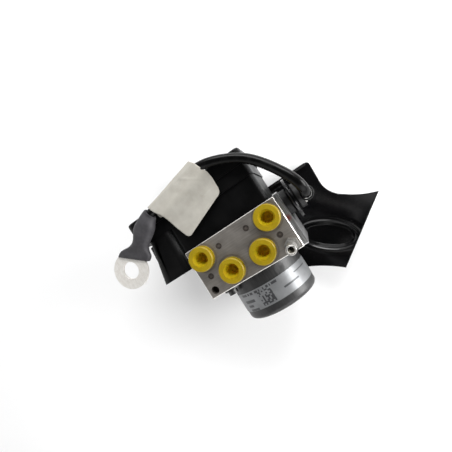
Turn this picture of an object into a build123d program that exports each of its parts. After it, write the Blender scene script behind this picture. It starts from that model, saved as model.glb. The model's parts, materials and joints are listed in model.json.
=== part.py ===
from build123d import *
import os
from math import asin, atan, cos, degrees, pi, radians, sin, sqrt, tan

os.makedirs("parts", exist_ok=True)

# Anti-lock brake unit of a motorcycle: hydraulic block, pump motor, control unit,
# earth cable and rubber-isolated bracket. Millimetres. The origin is the centre of the
# block's port face, +X runs along the block towards the isolator, +Y towards the control
# unit and +Z out of the port face.


def write(piece, label):
    piece.part.label = label
    export_step(piece.part, f"parts/{label}.step")


# Hydraulic block
BLOCK_LENGTH = 76.0
BLOCK_WIDTH = 39.0
BLOCK_DEPTH = 61.0
BLOCK_CHAMFER = 0.5
HALF_LENGTH = BLOCK_LENGTH / 2
HALF_WIDTH = BLOCK_WIDTH / 2

# Ports for the brake pipes, with their transport plugs
PORTS = [(27.6, 9.8), (12.8, -8.3), (-12.8, -8.3), (-27.6, 9.8)]
PORT_RADIUS = 5.1
PORT_DEPTH = 14.0
SPOT_RADIUS = 10.85
SPOT_DEPTH = 0.25
PLUG_FLANGE_RADIUS = 9.15
PLUG_HEIGHT = 5.8
PLUG_FLANGE_THICKNESS = 2.3
PLUG_RIM_RADIUS = 5.65
PLUG_THROAT_RADIUS = 4.15
PLUG_FLOOR_RADIUS = 3.65
PLUG_CUP_DEPTH = 13.2
PLUG_FLOOR_THICKNESS = 1.4
PLUG_CLEARANCE = 0.1
PLUG_EDGE = 0.6
PLUG_GROOVE = 0.7
PLUG_TIP_EDGE = 1.0
PLUG_THROAT_RISE = 1.0

# Pressed plugs that close the drillings, the bracket thread and the return fitting
SEAL_PLUGS = [(11.0, 11.3), (-12.6, 11.0), (28.3, -4.7), (-29.7, -4.5)]
SEAL_PLUG_RADIUS = 2.2
SEAL_PLUG_DEPTH = 3.0
SEAL_PLUG_CLEARANCE = 0.05
SEAL_GROOVE_OUTER = 1.7
SEAL_GROOVE_INNER = 1.1
SEAL_GROOVE_DEPTH = 0.5
THREAD_PLACE = (-32.6, -14.6)
THREAD_RADIUS = 3.0
THREAD_DEPTH = 14.0
FITTING_PLACE = (31.6, -14.7)
FITTING_HEX = 9.4
FITTING_HEX_HEIGHT = 3.8
FITTING_COLLAR_RADIUS = 4.2
FITTING_COLLAR_HEIGHT = 1.4
FITTING_LIP = 0.5
FITTING_TUBE_RADIUS = 3.35
FITTING_HOLE_RADIUS = 2.3
FITTING_TOP = 21.5
FITTING_SPIGOT_DEPTH = 6.0
FITTING_CLEARANCE = 0.05

# Pump motor, axis along Y
MOTOR_AXIS_DEPTH = 30.4
MOTOR_RADIUS = 28.9
MOTOR_LENGTH = 31.5
CAN_WALL = 1.6
CAN_ROUNDING = 3.5
CAN_BOSS_RADIUS = 7.5
CAN_BOSS_HEIGHT = 2.0
SHAFT_RADIUS = 3.0
RUNNING_CLEARANCE = 0.04
EAR_ACROSS = 24.0
EAR_UP = 23.4
EAR_DOWN = 22.6
EAR_RADIUS = 5.6
MOTOR_SCREW_RADIUS = 2.0
MOTOR_SCREW_HEAD = 3.6
MOTOR_SCREW_HEAD_HEIGHT = 3.4
MOTOR_SCREW_DEPTH = 10.0
SCREW_CLEARANCE = 0.05
LABEL_START = 8.9
LABEL_LENGTH = 15.0
LABEL_THICKNESS = 0.15
LABEL_CLEARANCE = 0.2
LABEL_TILT = 3.0
LABEL_ARC_FROM = -20.0
LABEL_ARC_TO = 200.0
MAGNET_INNER = 22.6
MAGNET_LENGTH = 20.0
MAGNET_ARC = 140.0
MAGNET_START = 6.5
CORE_RADIUS = 21.8
CORE_START = 10.0
CORE_LENGTH = 15.0
CORE_SLOTS = 8
CORE_SLOT_WIDTH = 3.0
CORE_SLOT_DEPTH = 9.0
CORE_TOOTH_OVERCUT = 0.5
COMMUTATOR_RADIUS = 8.5
COMMUTATOR_START = 3.9
COMMUTATOR_LENGTH = 4.6
BRUSH_PLATE_RADIUS = 26.6
BRUSH_PLATE_THICKNESS = 3.0
BRUSH_WIDTH = 5.0
BRUSH_HEIGHT = 3.6
BRUSH_LENGTH = 9.0
BRUSH_WALL = 1.4
BRUSH_GAP = 0.3
FRONT_BEARING_RADIUS = 9.9
FRONT_BEARING_WIDTH = 6.0

# Eccentric drive and the two pump elements
ECCENTRIC_BORE = 10.0
ECCENTRIC_BORE_DEPTH = 21.0
PUMP_DISTANCE = 12.0
ECCENTRIC_WIDTH = 7.0
ECCENTRICITY = 0.9
ECCENTRIC_RADIUS = 4.8
RING_RADIUS = 6.5
SHAFT_NOSE = 18.5
PISTON_RADIUS = 3.0
PISTON_GAP = 0.1
PISTON_SHOULDER = 24.0
PISTON_COLLAR_RADIUS = 4.6
PISTON_COLLAR = 1.4
PUMP_CHAMBER_RADIUS = 5.5
PUMP_CHAMBER_FROM = 22.0
PUMP_CAP_LENGTH = 6.0
PUMP_SPRING_WIRE = 0.8
PUMP_SPRING_RADIUS = 3.4
SPRING_GAP = 0.15
PRESS_CLEARANCE = 0.05

# Low-pressure accumulators, open to the block's underside
ACCUMULATOR_X = 10.0
ACCUMULATOR_RADIUS = 6.5
ACCUMULATOR_DEPTH = 16.0
ACCUMULATOR_PISTON = 3.8
ACCUMULATOR_CAP = 3.2
ACCUMULATOR_TOP_GAP = 0.2
ACCUMULATOR_WIRE = 0.9
ACCUMULATOR_SPRING_RADIUS = 4.9
SPRING_TURNS = 3.0

# Solenoid valves and coils
VALVE_X = 22.0
VALVE_DEPTHS = [23.0, 46.0]
VALVE_RADIUS = 5.4
VALVE_DEPTH = 13.0
VALVE_COLLAR_RADIUS = 6.4
VALVE_COLLAR = 1.2
VALVE_STEM_RADIUS = 3.2
VALVE_STEM = 16.5
VALVE_CLEARANCE = 0.1
COIL_RADIUS = 7.8
COIL_LENGTH = 15.0
COIL_PIN_RADIUS = 0.5
COIL_PIN_PITCH = 5.0

# Control unit
BODY_LEFT = -41.0
BODY_RIGHT = 34.5
BODY_NEAR = -4.5
BODY_FAR_INSET = 0.5
BODY_CORNER = 4.0
FLANGE_LEFT = -66.0
FLANGE_RIGHT = 35.4
FLANGE_NEAR = -3.0
FLANGE_FAR_INSET = 0.0
FLANGE_FROM = 41.0
LID_FROM = 50.5
LID_TO = 62.0
LID_RIGHT = 36.0
LID_NEAR = -1.8
LID_OVERHANG = 0.5
LID_ROUNDING = 1.6
ECU_WALL = 2.5
FLOOR_THICKNESS = 2.5
BOARD_THICKNESS = 1.6
BOARD_GAP = 0.3
SEAL_WIDTH = 1.6
SEAL_DEPTH = 1.4
SEAL_INSET = 2.3
ECU_SCREW_X = 9.0
ECU_SCREW_TOP = 12.0
ECU_SCREW_LOW_INSET = 7.0
ECU_SCREW_RADIUS = 1.6
ECU_SCREW_HEAD = 2.8
ECU_SCREW_HEAD_HEIGHT = 2.4
ECU_SCREW_GRIP = 10.0

# Plug connector shroud on the control unit, open towards -Y
SHROUD_MOUTH = 7.4
SHROUD_LEFT_ROOT = -59.0
SHROUD_LEFT_MOUTH = -64.0
SHROUD_RIGHT_ROOT = -40.0
SHROUD_RIGHT_MOUTH = -41.0
SHROUD_NEAR = -2.6
SHROUD_FAR_INSET = 6.0
SHROUD_WALL = 1.9
SHROUD_CORNER = 6.0
SOCKET_FLOOR = 38.0
PIN_ROWS = 13
PIN_COLUMNS = 2
PIN_PITCH = 3.4
PIN_COLUMN_PITCH = 6.0
PIN_WIDTH = 1.2
PIN_THICKNESS = 0.8
PIN_LENGTH = 11.0

# Steel side plate and rubber isolator, axis along X
PLATE_THICKNESS = 3.4
PLATE_TOP = -0.5
PLATE_BOTTOM_INSET = 1.0
PLATE_CORNER = 1.0
PLATE_FRONT = -19.3
PLATE_BACK = 20.8
PLATE_HOLE_CLEARANCE = 0.1
ISOLATOR_Y = 11.2
ISOLATOR_DEPTH = 17.0
ISOLATOR_BASE_RADIUS = 9.3
ISOLATOR_BASE = 4.9
ISOLATOR_NECK_RADIUS = 6.8
ISOLATOR_NECK = 3.4
ISOLATOR_FLANGE_RADIUS = 9.5
ISOLATOR_FLANGE = 4.6
ISOLATOR_ROUNDING = 1.2
BOLT_RADIUS = 3.0
BOLT_SLEEVE_CLEARANCE = 0.2
BOLT_GRIP = 9.0
BOLT_FLANGE_RADIUS = 6.3
BOLT_FLANGE = 1.4
BOLT_FLANGE_TAPER = 20
BOLT_HEAD_WIDTH = 10.0
BOLT_HEAD = 4.2

# Second cable terminal, clamped by the isolator's bolt, and its rubber boot
LUG_RADIUS = 7.4
LUG_THICKNESS = 1.2
LUG_STRAP_WIDTH = 5.6
LUG_BARREL_RADIUS = 2.95
LUG_BARREL_X = 57.3
LUG_BARREL_Y = 9.6
LUG_BARREL_BOTTOM = -10.4
LUG_BARREL_TOP = -3.4
LUG_STRAP_TOP = -7.4
BOOT_RADIUS = 5.1
BOOT_INNER = 3.85
BOOT_BOTTOM = -7.2
BOOT_TOP = -0.4
BOOT_BEAD = 0.45

# Earth cable. The route runs from the boot over the control unit to the free terminal.
CABLE_RADIUS = 3.5
CABLE_ARC_SHARE = 0.45
CABLE_REST = 2.8
ROUTE = [
    (57.3, 9.6, -3.4),
    (57.3, 9.6, 2.0),
    (57.4, 12.4, 6.4),
    (57.0, 17.4, 9.2),
    (54.3, 24.6, 9.0),
    (49.9, 33.0, 7.2),
    (44.6, 41.5, 5.4),
    (38.8, 48.7, 4.0),
    (32.4, 54.1, 3.2),
    (24.7, 58.8, CABLE_REST),
    (16.8, 62.3, CABLE_REST),
    (9.4, 64.5, CABLE_REST),
    (0.4, 65.0, CABLE_REST),
    (-11.0, 63.5, CABLE_REST),
    (-23.4, 61.7, CABLE_REST),
    (-34.4, 60.3, CABLE_REST),
    (-42.8, 57.8, CABLE_REST),
]

# Heat-shrink sleeve: centre x, y, z, heading in degrees, width and height of each section
SLEEVE = [
    (-42.8, 57.8, 2.8, 196.6, 9.4, 8.8),
    (-48.8, 54.6, 3.0, 220.0, 13.5, 9.2),
    (-54.5, 50.3, 3.2, 230.0, 16.0, 9.2),
    (-58.7, 46.5, 3.2, 230.0, 13.9, 9.2),
    (-62.7, 43.5, 3.0, 230.0, 13.4, 8.6),
    (-65.7, 41.9, 2.6, 230.0, 16.1, 7.2),
    (-69.2, 40.5, 2.0, 230.0, 22.4, 5.6),
    (-74.7, 37.5, 1.6, 232.0, 26.2, 4.6),
]
SLEEVE_FLAT = 0.2
TERMINAL_CENTRE = (-81.9, 31.3)
TERMINAL_MID = 1.4
TERMINAL_HEADING = 44.0
TERMINAL_RADIUS = 14.4
TERMINAL_HOLE = 6.75
TERMINAL_THICKNESS = 2.4
TERMINAL_TONGUE = 16.0
TERMINAL_TONGUE_WIDTH = 11.0
TERMINAL_TONGUE_END = 1.0
TERMINAL_CLEARANCE = 0.1

# Fabric flag label folded round the cable
FLAG_CORNERS = [(2.3, 72.8), (-41.0, 63.4), (-28.3, 28.8), (10.0, 44.0)]
FLAG_HEADING = 12.2
FLAG_THICKNESS = 0.35
FLAG_TUNNEL = 4.4
FLAG_TUNNEL_NEAR = 4.4
FLAG_TUNNEL_FAR = 8.4
FLAG_JOIN = 17.0
FLAG_REACH = 42.0
FLAG_SLOPE = 0.25
FLAG_CORNER = 4.0

# Saddle bracket: pressed sheet with a curved wing, rubber grommet and upright ear
SHEET = 1.5
BASE_DROP = 8.0
WING_HEADING = -52.7
WING_START = 25.0
WING_RADIUS = 75.0
WING_ARC = 50.0
OUTLINE_BACK = 31.9
OUTLINE_LEFT = -37.0
OUTLINE_RIGHT = 73.8
WAIST_TOP = (72.8, 14.0)
WAIST_MID = (74.6, 1.2)
WAIST_END = (82.8, -8.0)
WING_TIP_MID = (94.3, -15.4)
WING_TIP = (102.9, -18.6)
WING_CORNER = (52.1, -57.3)
WING_FRONT_MID = (40.6, -51.4)
WING_FRONT = (25.6, -45.3)
OUTLINE_FRONT = (-12.0, -34.0)
OUTLINE_FRONT_LEFT = (-37.0, -15.0)
OUTLINE_CORNER = 3.0
LIP_HEIGHT = 3.6
LIP_FROM = -24.0
LIP_TO = 70.0
BEAD_PLACE = (54.0, -29.4)
BEAD_HEADING = -32.0
BEAD_LENGTH = 42.0
BEAD_WIDTH = 21.0
BEAD_DEPTH = 3.4
BEAD_TAPER = 2.2
ISLAND_PLACE = (-23.0, 0.0)
ISLAND_RISE = 3.5
ISLAND_FOOT_RADIUS = 12.0
ISLAND_TOP_RADIUS = 10.0
ISLAND_HOLE = 6.2
GROMMET_GAP = 0.2
GROMMET_RADIUS = 9.0
GROMMET_LOW_RADIUS = 7.5
GROMMET_LOW = 1.7
PEG_RADIUS = 3.0
PEG_CLEARANCE = 0.05
PEG_GRIP = 10.0
PEG_HEAD_RADIUS = 5.4
PEG_HEAD = 1.2
EAR_X = 47.0
EAR_SHEET = 2.0
EAR_TOP_RADIUS = 15.5
EAR_BEND = 1.9
EAR_FOOT = 14.0
EAR_FOOT_WIDTH = 20.5
EAR_HOLE_CLEARANCE = 0.3

# Levels that follow the block's depth
body_far = BODY_FAR_INSET - BLOCK_DEPTH
flange_far = FLANGE_FAR_INSET - BLOCK_DEPTH
lid_far = -LID_OVERHANG - BLOCK_DEPTH
shroud_far = SHROUD_FAR_INSET - BLOCK_DEPTH
plate_bottom = PLATE_BOTTOM_INSET - BLOCK_DEPTH
base_underside = -BASE_DROP - BLOCK_DEPTH
ecu_screw_depths = [ECU_SCREW_TOP, BLOCK_DEPTH - ECU_SCREW_LOW_INSET]

# Working planes and axes that several pieces share
motor_axis_z = -MOTOR_AXIS_DEPTH
block_front = (0, -HALF_WIDTH, motor_axis_z)
motor_face = Plane(origin=block_front, x_dir=(1, 0, 0), z_dir=(0, -1, 0))
motor_section = Plane(origin=block_front, x_dir=(1, 0, 0), z_dir=(0, 0, -1))
motor_axis = Axis(block_front, (0, -1, 0))
pump_y = PUMP_DISTANCE - HALF_WIDTH
valve_face = Plane(origin=(0, HALF_WIDTH, 0), x_dir=(1, 0, 0), z_dir=(0, 1, 0))
underside = Plane(origin=(0, 0, -BLOCK_DEPTH), x_dir=(1, 0, 0), z_dir=(0, 0, -1))
ear_places = [(-EAR_ACROSS, EAR_UP), (EAR_ACROSS, -EAR_DOWN)]
ear_span = 2 * sqrt(EAR_ACROSS**2 + EAR_UP**2)
ear_angle = 180 - degrees(asin(2 * EAR_UP / ear_span))
valve_places = [(side * VALVE_X, depth) for side in (-1, 1) for depth in VALVE_DEPTHS]
ecu_screw_places = [(side * ECU_SCREW_X, depth) for side in (-1, 1) for depth in ecu_screw_depths]
plate_face = HALF_LENGTH + PLATE_THICKNESS
isolator_origin = (plate_face, ISOLATOR_Y, -ISOLATOR_DEPTH)
isolator_face = Plane(origin=isolator_origin, x_dir=(0, 1, 0), z_dir=(1, 0, 0))
sleeve_radius = BOLT_RADIUS + BOLT_SLEEVE_CLEARANCE
isolator_length = ISOLATOR_BASE + ISOLATOR_NECK + ISOLATOR_FLANGE
piston_tip = RING_RADIUS + 3 * ECCENTRICITY + PISTON_GAP


def pump_face(side, distance):
    return Plane(origin=(side * distance, pump_y, motor_axis_z), x_dir=(0, 1, 0), z_dir=(side, 0, 0))


# Hydraulic block
with BuildPart() as hydraulic_block:
    with BuildSketch():
        Rectangle(BLOCK_LENGTH, BLOCK_WIDTH)
    extrude(amount=-BLOCK_DEPTH)
    chamfer(hydraulic_block.edges(), BLOCK_CHAMFER)
    for place in PORTS:
        with BuildSketch(Plane.XY.offset(-SPOT_DEPTH)):
            with Locations(place):
                Circle(SPOT_RADIUS)
        extrude(amount=2 * SPOT_DEPTH, mode=Mode.SUBTRACT)
    with BuildSketch():
        with Locations(*PORTS):
            Circle(PORT_RADIUS)
    extrude(amount=-PORT_DEPTH, mode=Mode.SUBTRACT)
    with BuildSketch():
        with Locations(*SEAL_PLUGS):
            Circle(SEAL_PLUG_RADIUS + SEAL_PLUG_CLEARANCE)
    extrude(amount=-SEAL_PLUG_DEPTH, mode=Mode.SUBTRACT)
    with BuildSketch():
        with Locations(THREAD_PLACE):
            Circle(THREAD_RADIUS)
    extrude(amount=-THREAD_DEPTH, mode=Mode.SUBTRACT)
    with BuildSketch():
        with Locations(FITTING_PLACE):
            Circle(FITTING_TUBE_RADIUS + FITTING_CLEARANCE)
    extrude(amount=-FITTING_SPIGOT_DEPTH, mode=Mode.SUBTRACT)
    with BuildSketch(motor_face):
        Circle(ECCENTRIC_BORE)
    extrude(amount=-ECCENTRIC_BORE_DEPTH, mode=Mode.SUBTRACT)
    with BuildSketch(motor_face):
        with Locations(*ear_places):
            Circle(MOTOR_SCREW_RADIUS + SCREW_CLEARANCE)
    extrude(amount=-MOTOR_SCREW_DEPTH, mode=Mode.SUBTRACT)
    for side in (-1, 1):
        with BuildSketch(pump_face(side, 0)):
            Circle(PISTON_RADIUS + RUNNING_CLEARANCE)
        extrude(amount=HALF_LENGTH, mode=Mode.SUBTRACT)
        with BuildSketch(pump_face(side, PUMP_CHAMBER_FROM)):
            Circle(PUMP_CHAMBER_RADIUS)
        extrude(amount=HALF_LENGTH - PUMP_CHAMBER_FROM, mode=Mode.SUBTRACT)
    with BuildSketch(underside):
        with Locations((-ACCUMULATOR_X, 0), (ACCUMULATOR_X, 0)):
            Circle(ACCUMULATOR_RADIUS)
    extrude(amount=-ACCUMULATOR_DEPTH, mode=Mode.SUBTRACT)
    with BuildSketch(underside):
        with Locations(ISLAND_PLACE):
            Circle(PEG_RADIUS + PEG_CLEARANCE)
    extrude(amount=-PEG_GRIP, mode=Mode.SUBTRACT)
    with BuildSketch(valve_face):
        with Locations(*valve_places):
            Circle(VALVE_RADIUS + VALVE_CLEARANCE)
    extrude(amount=-VALVE_DEPTH, mode=Mode.SUBTRACT)
    with BuildSketch(valve_face):
        with Locations(*ecu_screw_places):
            Circle(ECU_SCREW_RADIUS + SCREW_CLEARANCE)
    extrude(amount=-ECU_SCREW_GRIP, mode=Mode.SUBTRACT)
    with BuildSketch(isolator_face.offset(-PLATE_THICKNESS)):
        Circle(BOLT_RADIUS + SCREW_CLEARANCE)
    extrude(amount=-BOLT_GRIP, mode=Mode.SUBTRACT)
write(hydraulic_block, "hydraulic_block")

# Transport plugs: a flanged cup that is open to the top, with a groove round its flange
plug_base = -SPOT_DEPTH
plug_floor = PLUG_HEIGHT - PLUG_CUP_DEPTH
plug_shank = PORT_RADIUS - PLUG_CLEARANCE
plug_groove = PLUG_FLANGE_RADIUS - PLUG_GROOVE
plug_tip = plug_floor - PLUG_FLOOR_THICKNESS
for number, place in enumerate(PORTS, start=1):
    with BuildPart() as port_plug:
        with BuildSketch(Plane(origin=(*place, 0), x_dir=(1, 0, 0), z_dir=(0, -1, 0))):
            with BuildLine():
                Polyline(
                    (0, plug_floor),
                    (PLUG_FLOOR_RADIUS, plug_floor),
                    (PLUG_THROAT_RADIUS, plug_base + PLUG_THROAT_RISE),
                    (PLUG_RIM_RADIUS, PLUG_HEIGHT),
                    (PLUG_FLANGE_RADIUS - PLUG_EDGE, PLUG_HEIGHT),
                    (PLUG_FLANGE_RADIUS, PLUG_HEIGHT - PLUG_EDGE),
                    (PLUG_FLANGE_RADIUS, PLUG_HEIGHT - PLUG_FLANGE_THICKNESS),
                    (plug_groove, PLUG_HEIGHT - PLUG_FLANGE_THICKNESS),
                    (plug_groove, plug_base + PLUG_FLANGE_THICKNESS),
                    (PLUG_FLANGE_RADIUS, plug_base + PLUG_FLANGE_THICKNESS),
                    (PLUG_FLANGE_RADIUS, plug_base),
                    (plug_shank, plug_base),
                    (plug_shank, plug_tip + PLUG_TIP_EDGE),
                    (plug_shank - PLUG_TIP_EDGE, plug_tip),
                    (0, plug_tip),
                    close=True,
                )
            make_face()
        revolve(axis=Axis((*place, 0), (0, 0, 1)))
    write(port_plug, f"port_plug_{number}")

# Pressed sealing plugs, each with a ring groove
with BuildPart() as sealing_plugs:
    with BuildSketch():
        with Locations(*SEAL_PLUGS):
            Circle(SEAL_PLUG_RADIUS)
    extrude(amount=-SEAL_PLUG_DEPTH)
    with BuildSketch():
        with Locations(*SEAL_PLUGS):
            Circle(SEAL_GROOVE_OUTER)
            Circle(SEAL_GROOVE_INNER, mode=Mode.SUBTRACT)
    extrude(amount=-SEAL_GROOVE_DEPTH, mode=Mode.SUBTRACT)
write(sealing_plugs, "sealing_plugs")

# Return fitting: spigot, hexagon, collar and tube
with BuildPart() as return_fitting:
    with BuildSketch(Plane.XY.offset(-FITTING_SPIGOT_DEPTH)):
        with Locations(FITTING_PLACE):
            Circle(FITTING_TUBE_RADIUS)
    extrude(amount=FITTING_SPIGOT_DEPTH + FITTING_TOP)
    with BuildSketch():
        with Locations(FITTING_PLACE):
            RegularPolygon(FITTING_HEX / 2, 6, major_radius=False, rotation=30)
    extrude(amount=FITTING_HEX_HEIGHT)
    with BuildSketch(Plane.XY.offset(FITTING_HEX_HEIGHT)):
        with Locations(FITTING_PLACE):
            Circle(FITTING_COLLAR_RADIUS)
    extrude(amount=FITTING_COLLAR_HEIGHT)
    fillet(return_fitting.edges().group_by(Axis.Z)[-1], FITTING_LIP)
    with BuildSketch(Plane.XY.offset(-FITTING_SPIGOT_DEPTH)):
        with Locations(FITTING_PLACE):
            Circle(FITTING_HOLE_RADIUS)
    extrude(amount=FITTING_SPIGOT_DEPTH + FITTING_TOP, mode=Mode.SUBTRACT)
write(return_fitting, "return_fitting")

# Motor can with two fastening ears and a closed end
with BuildPart() as motor_can:
    with BuildSketch(motor_section):
        with BuildLine():
            Polyline(
                (0, 0),
                (MOTOR_RADIUS, 0),
                (MOTOR_RADIUS, MOTOR_LENGTH),
                (CAN_BOSS_RADIUS, MOTOR_LENGTH),
                (CAN_BOSS_RADIUS, MOTOR_LENGTH + CAN_BOSS_HEIGHT),
                (0, MOTOR_LENGTH + CAN_BOSS_HEIGHT),
                close=True,
            )
        make_face()
    revolve(axis=motor_axis)
    rim = motor_can.edges().filter_by(GeomType.CIRCLE).group_by(Axis.Y)[1]
    fillet(rim.sort_by(SortBy.RADIUS)[-1], CAN_ROUNDING)
    with BuildSketch(motor_face):
        SlotCenterToCenter(ear_span, 2 * EAR_RADIUS, rotation=ear_angle)
    extrude(amount=CAN_WALL)
    with BuildSketch(motor_face):
        Circle(MOTOR_RADIUS - CAN_WALL)
    extrude(amount=MOTOR_LENGTH - CAN_WALL, mode=Mode.SUBTRACT)
    with BuildSketch(motor_face):
        Circle(SHAFT_RADIUS + RUNNING_CLEARANCE)
    extrude(amount=MOTOR_LENGTH + CAN_BOSS_HEIGHT - CAN_WALL, mode=Mode.SUBTRACT)
    with BuildSketch(motor_face):
        with Locations(*ear_places):
            Circle(MOTOR_SCREW_RADIUS + SCREW_CLEARANCE)
    extrude(amount=CAN_WALL, mode=Mode.SUBTRACT)
write(motor_can, "motor_can")

# Paper band round the can, stuck on with a slight tilt
label_arc = LABEL_ARC_TO - LABEL_ARC_FROM
label_radius = MOTOR_RADIUS + LABEL_CLEARANCE
with BuildPart() as motor_label:
    with BuildSketch(motor_face):
        with BuildLine():
            outer = CenterArc((0, 0), label_radius + LABEL_THICKNESS, LABEL_ARC_FROM, label_arc)
            inner = CenterArc((0, 0), label_radius, LABEL_ARC_FROM, label_arc)
            Line(outer @ 0, inner @ 0)
            Line(outer @ 1, inner @ 1)
        make_face()
    extrude(amount=MOTOR_LENGTH - CAN_ROUNDING)
    band_middle = motor_face.offset(LABEL_START + LABEL_LENGTH / 2).rotated((0, LABEL_TILT, 0))
    with BuildSketch(band_middle):
        Circle(2 * MOTOR_RADIUS)
    extrude(amount=LABEL_LENGTH / 2, both=True, mode=Mode.INTERSECT)
write(motor_label, "motor_label")

# Motor screws with hexagon sockets
with BuildPart() as motor_screws:
    with BuildSketch(motor_face.offset(-MOTOR_SCREW_DEPTH)):
        with Locations(*ear_places):
            Circle(MOTOR_SCREW_RADIUS)
    extrude(amount=MOTOR_SCREW_DEPTH + CAN_WALL)
    with BuildSketch(motor_face.offset(CAN_WALL)):
        with Locations(*ear_places):
            Circle(MOTOR_SCREW_HEAD)
    extrude(amount=MOTOR_SCREW_HEAD_HEIGHT)
    with BuildSketch(motor_face.offset(CAN_WALL + MOTOR_SCREW_HEAD_HEIGHT)):
        with Locations(*ear_places):
            RegularPolygon(MOTOR_SCREW_RADIUS, 6)
    extrude(amount=-MOTOR_SCREW_HEAD_HEIGHT / 2, mode=Mode.SUBTRACT)
write(motor_screws, "motor_screws")

# Permanent magnets, glued inside the can
magnet_outer = MOTOR_RADIUS - CAN_WALL
for number, middle in enumerate((0, 180), start=1):
    with BuildPart() as motor_magnet:
        with BuildSketch(motor_face.offset(MAGNET_START)):
            with BuildLine():
                outer = CenterArc((0, 0), magnet_outer, middle - MAGNET_ARC / 2, MAGNET_ARC)
                inner = CenterArc((0, 0), MAGNET_INNER, middle - MAGNET_ARC / 2, MAGNET_ARC)
                Line(outer @ 0, inner @ 0)
                Line(outer @ 1, inner @ 1)
            make_face()
        extrude(amount=MAGNET_LENGTH)
    write(motor_magnet, f"motor_magnet_{number}")

# Brush plate with two brush guides
brush_from = COMMUTATOR_RADIUS + BRUSH_GAP
brush_middle = COMMUTATOR_START + COMMUTATOR_LENGTH / 2
guide_top = brush_middle + BRUSH_HEIGHT / 2 + BRUSH_WALL
guide_middle = brush_from + BRUSH_LENGTH / 2 + BRUSH_WALL
with BuildPart() as brush_plate:
    with BuildSketch(motor_face):
        Circle(BRUSH_PLATE_RADIUS)
    extrude(amount=BRUSH_PLATE_THICKNESS)
    with BuildSketch(motor_face.offset(BRUSH_PLATE_THICKNESS)):
        with Locations((-guide_middle, 0), (guide_middle, 0)):
            Rectangle(BRUSH_LENGTH, BRUSH_WIDTH + 2 * BRUSH_WALL)
    extrude(amount=guide_top - BRUSH_PLATE_THICKNESS)
    for side in (-1, 1):
        with BuildSketch(Plane(origin=block_front, x_dir=(0, -1, 0), z_dir=(side, 0, 0))):
            with Locations((brush_middle, 0)):
                Rectangle(BRUSH_HEIGHT + BRUSH_GAP, BRUSH_WIDTH + BRUSH_GAP)
        extrude(amount=BRUSH_PLATE_RADIUS, mode=Mode.SUBTRACT)
    with BuildSketch(motor_face):
        Circle(COMMUTATOR_RADIUS + BRUSH_GAP)
    extrude(amount=guide_top, mode=Mode.SUBTRACT)
write(brush_plate, "brush_plate")

for number, side in enumerate((-1, 1), start=1):
    with BuildPart() as carbon_brush:
        brush_start = (side * brush_from, -HALF_WIDTH, motor_axis_z)
        with BuildSketch(Plane(origin=brush_start, x_dir=(0, -1, 0), z_dir=(side, 0, 0))):
            with Locations((brush_middle, 0)):
                Rectangle(BRUSH_HEIGHT, BRUSH_WIDTH)
        extrude(amount=BRUSH_LENGTH)
    write(carbon_brush, f"carbon_brush_{number}")

# Front bearing, pressed into the mouth of the eccentric bore
with BuildPart() as front_bearing:
    with BuildSketch(motor_face.offset(-FRONT_BEARING_WIDTH)):
        Circle(FRONT_BEARING_RADIUS)
        Circle(SHAFT_RADIUS + RUNNING_CLEARANCE, mode=Mode.SUBTRACT)
    extrude(amount=FRONT_BEARING_WIDTH)
write(front_bearing, "front_bearing")

# Rotor: shaft with its eccentric, running ring, laminated core and commutator
eccentric_from = -(PUMP_DISTANCE + ECCENTRIC_WIDTH / 2)
with BuildPart() as rotor_shaft:
    with BuildSketch(motor_face.offset(-SHAFT_NOSE)):
        Circle(SHAFT_RADIUS)
    extrude(amount=SHAFT_NOSE + MOTOR_LENGTH)
    with BuildSketch(motor_face.offset(eccentric_from)):
        with Locations((0, ECCENTRICITY)):
            Circle(ECCENTRIC_RADIUS)
    extrude(amount=ECCENTRIC_WIDTH)
write(rotor_shaft, "rotor_shaft")

with BuildPart() as eccentric_ring:
    with BuildSketch(motor_face.offset(eccentric_from)):
        with Locations((0, ECCENTRICITY)):
            Circle(RING_RADIUS)
            Circle(ECCENTRIC_RADIUS + RUNNING_CLEARANCE, mode=Mode.SUBTRACT)
    extrude(amount=ECCENTRIC_WIDTH)
write(eccentric_ring, "eccentric_ring")

with BuildPart() as armature_core:
    with BuildSketch(motor_face.offset(CORE_START)):
        Circle(CORE_RADIUS)
        with PolarLocations(CORE_RADIUS - CORE_SLOT_DEPTH / 2, CORE_SLOTS):
            Rectangle(CORE_SLOT_DEPTH + 2 * CORE_TOOTH_OVERCUT, CORE_SLOT_WIDTH, mode=Mode.SUBTRACT)
        Circle(SHAFT_RADIUS + RUNNING_CLEARANCE, mode=Mode.SUBTRACT)
    extrude(amount=CORE_LENGTH)
write(armature_core, "armature_core")

with BuildPart() as commutator:
    with BuildSketch(motor_face.offset(COMMUTATOR_START)):
        Circle(COMMUTATOR_RADIUS)
        Circle(SHAFT_RADIUS + RUNNING_CLEARANCE, mode=Mode.SUBTRACT)
    extrude(amount=COMMUTATOR_LENGTH)
write(commutator, "commutator")

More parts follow.
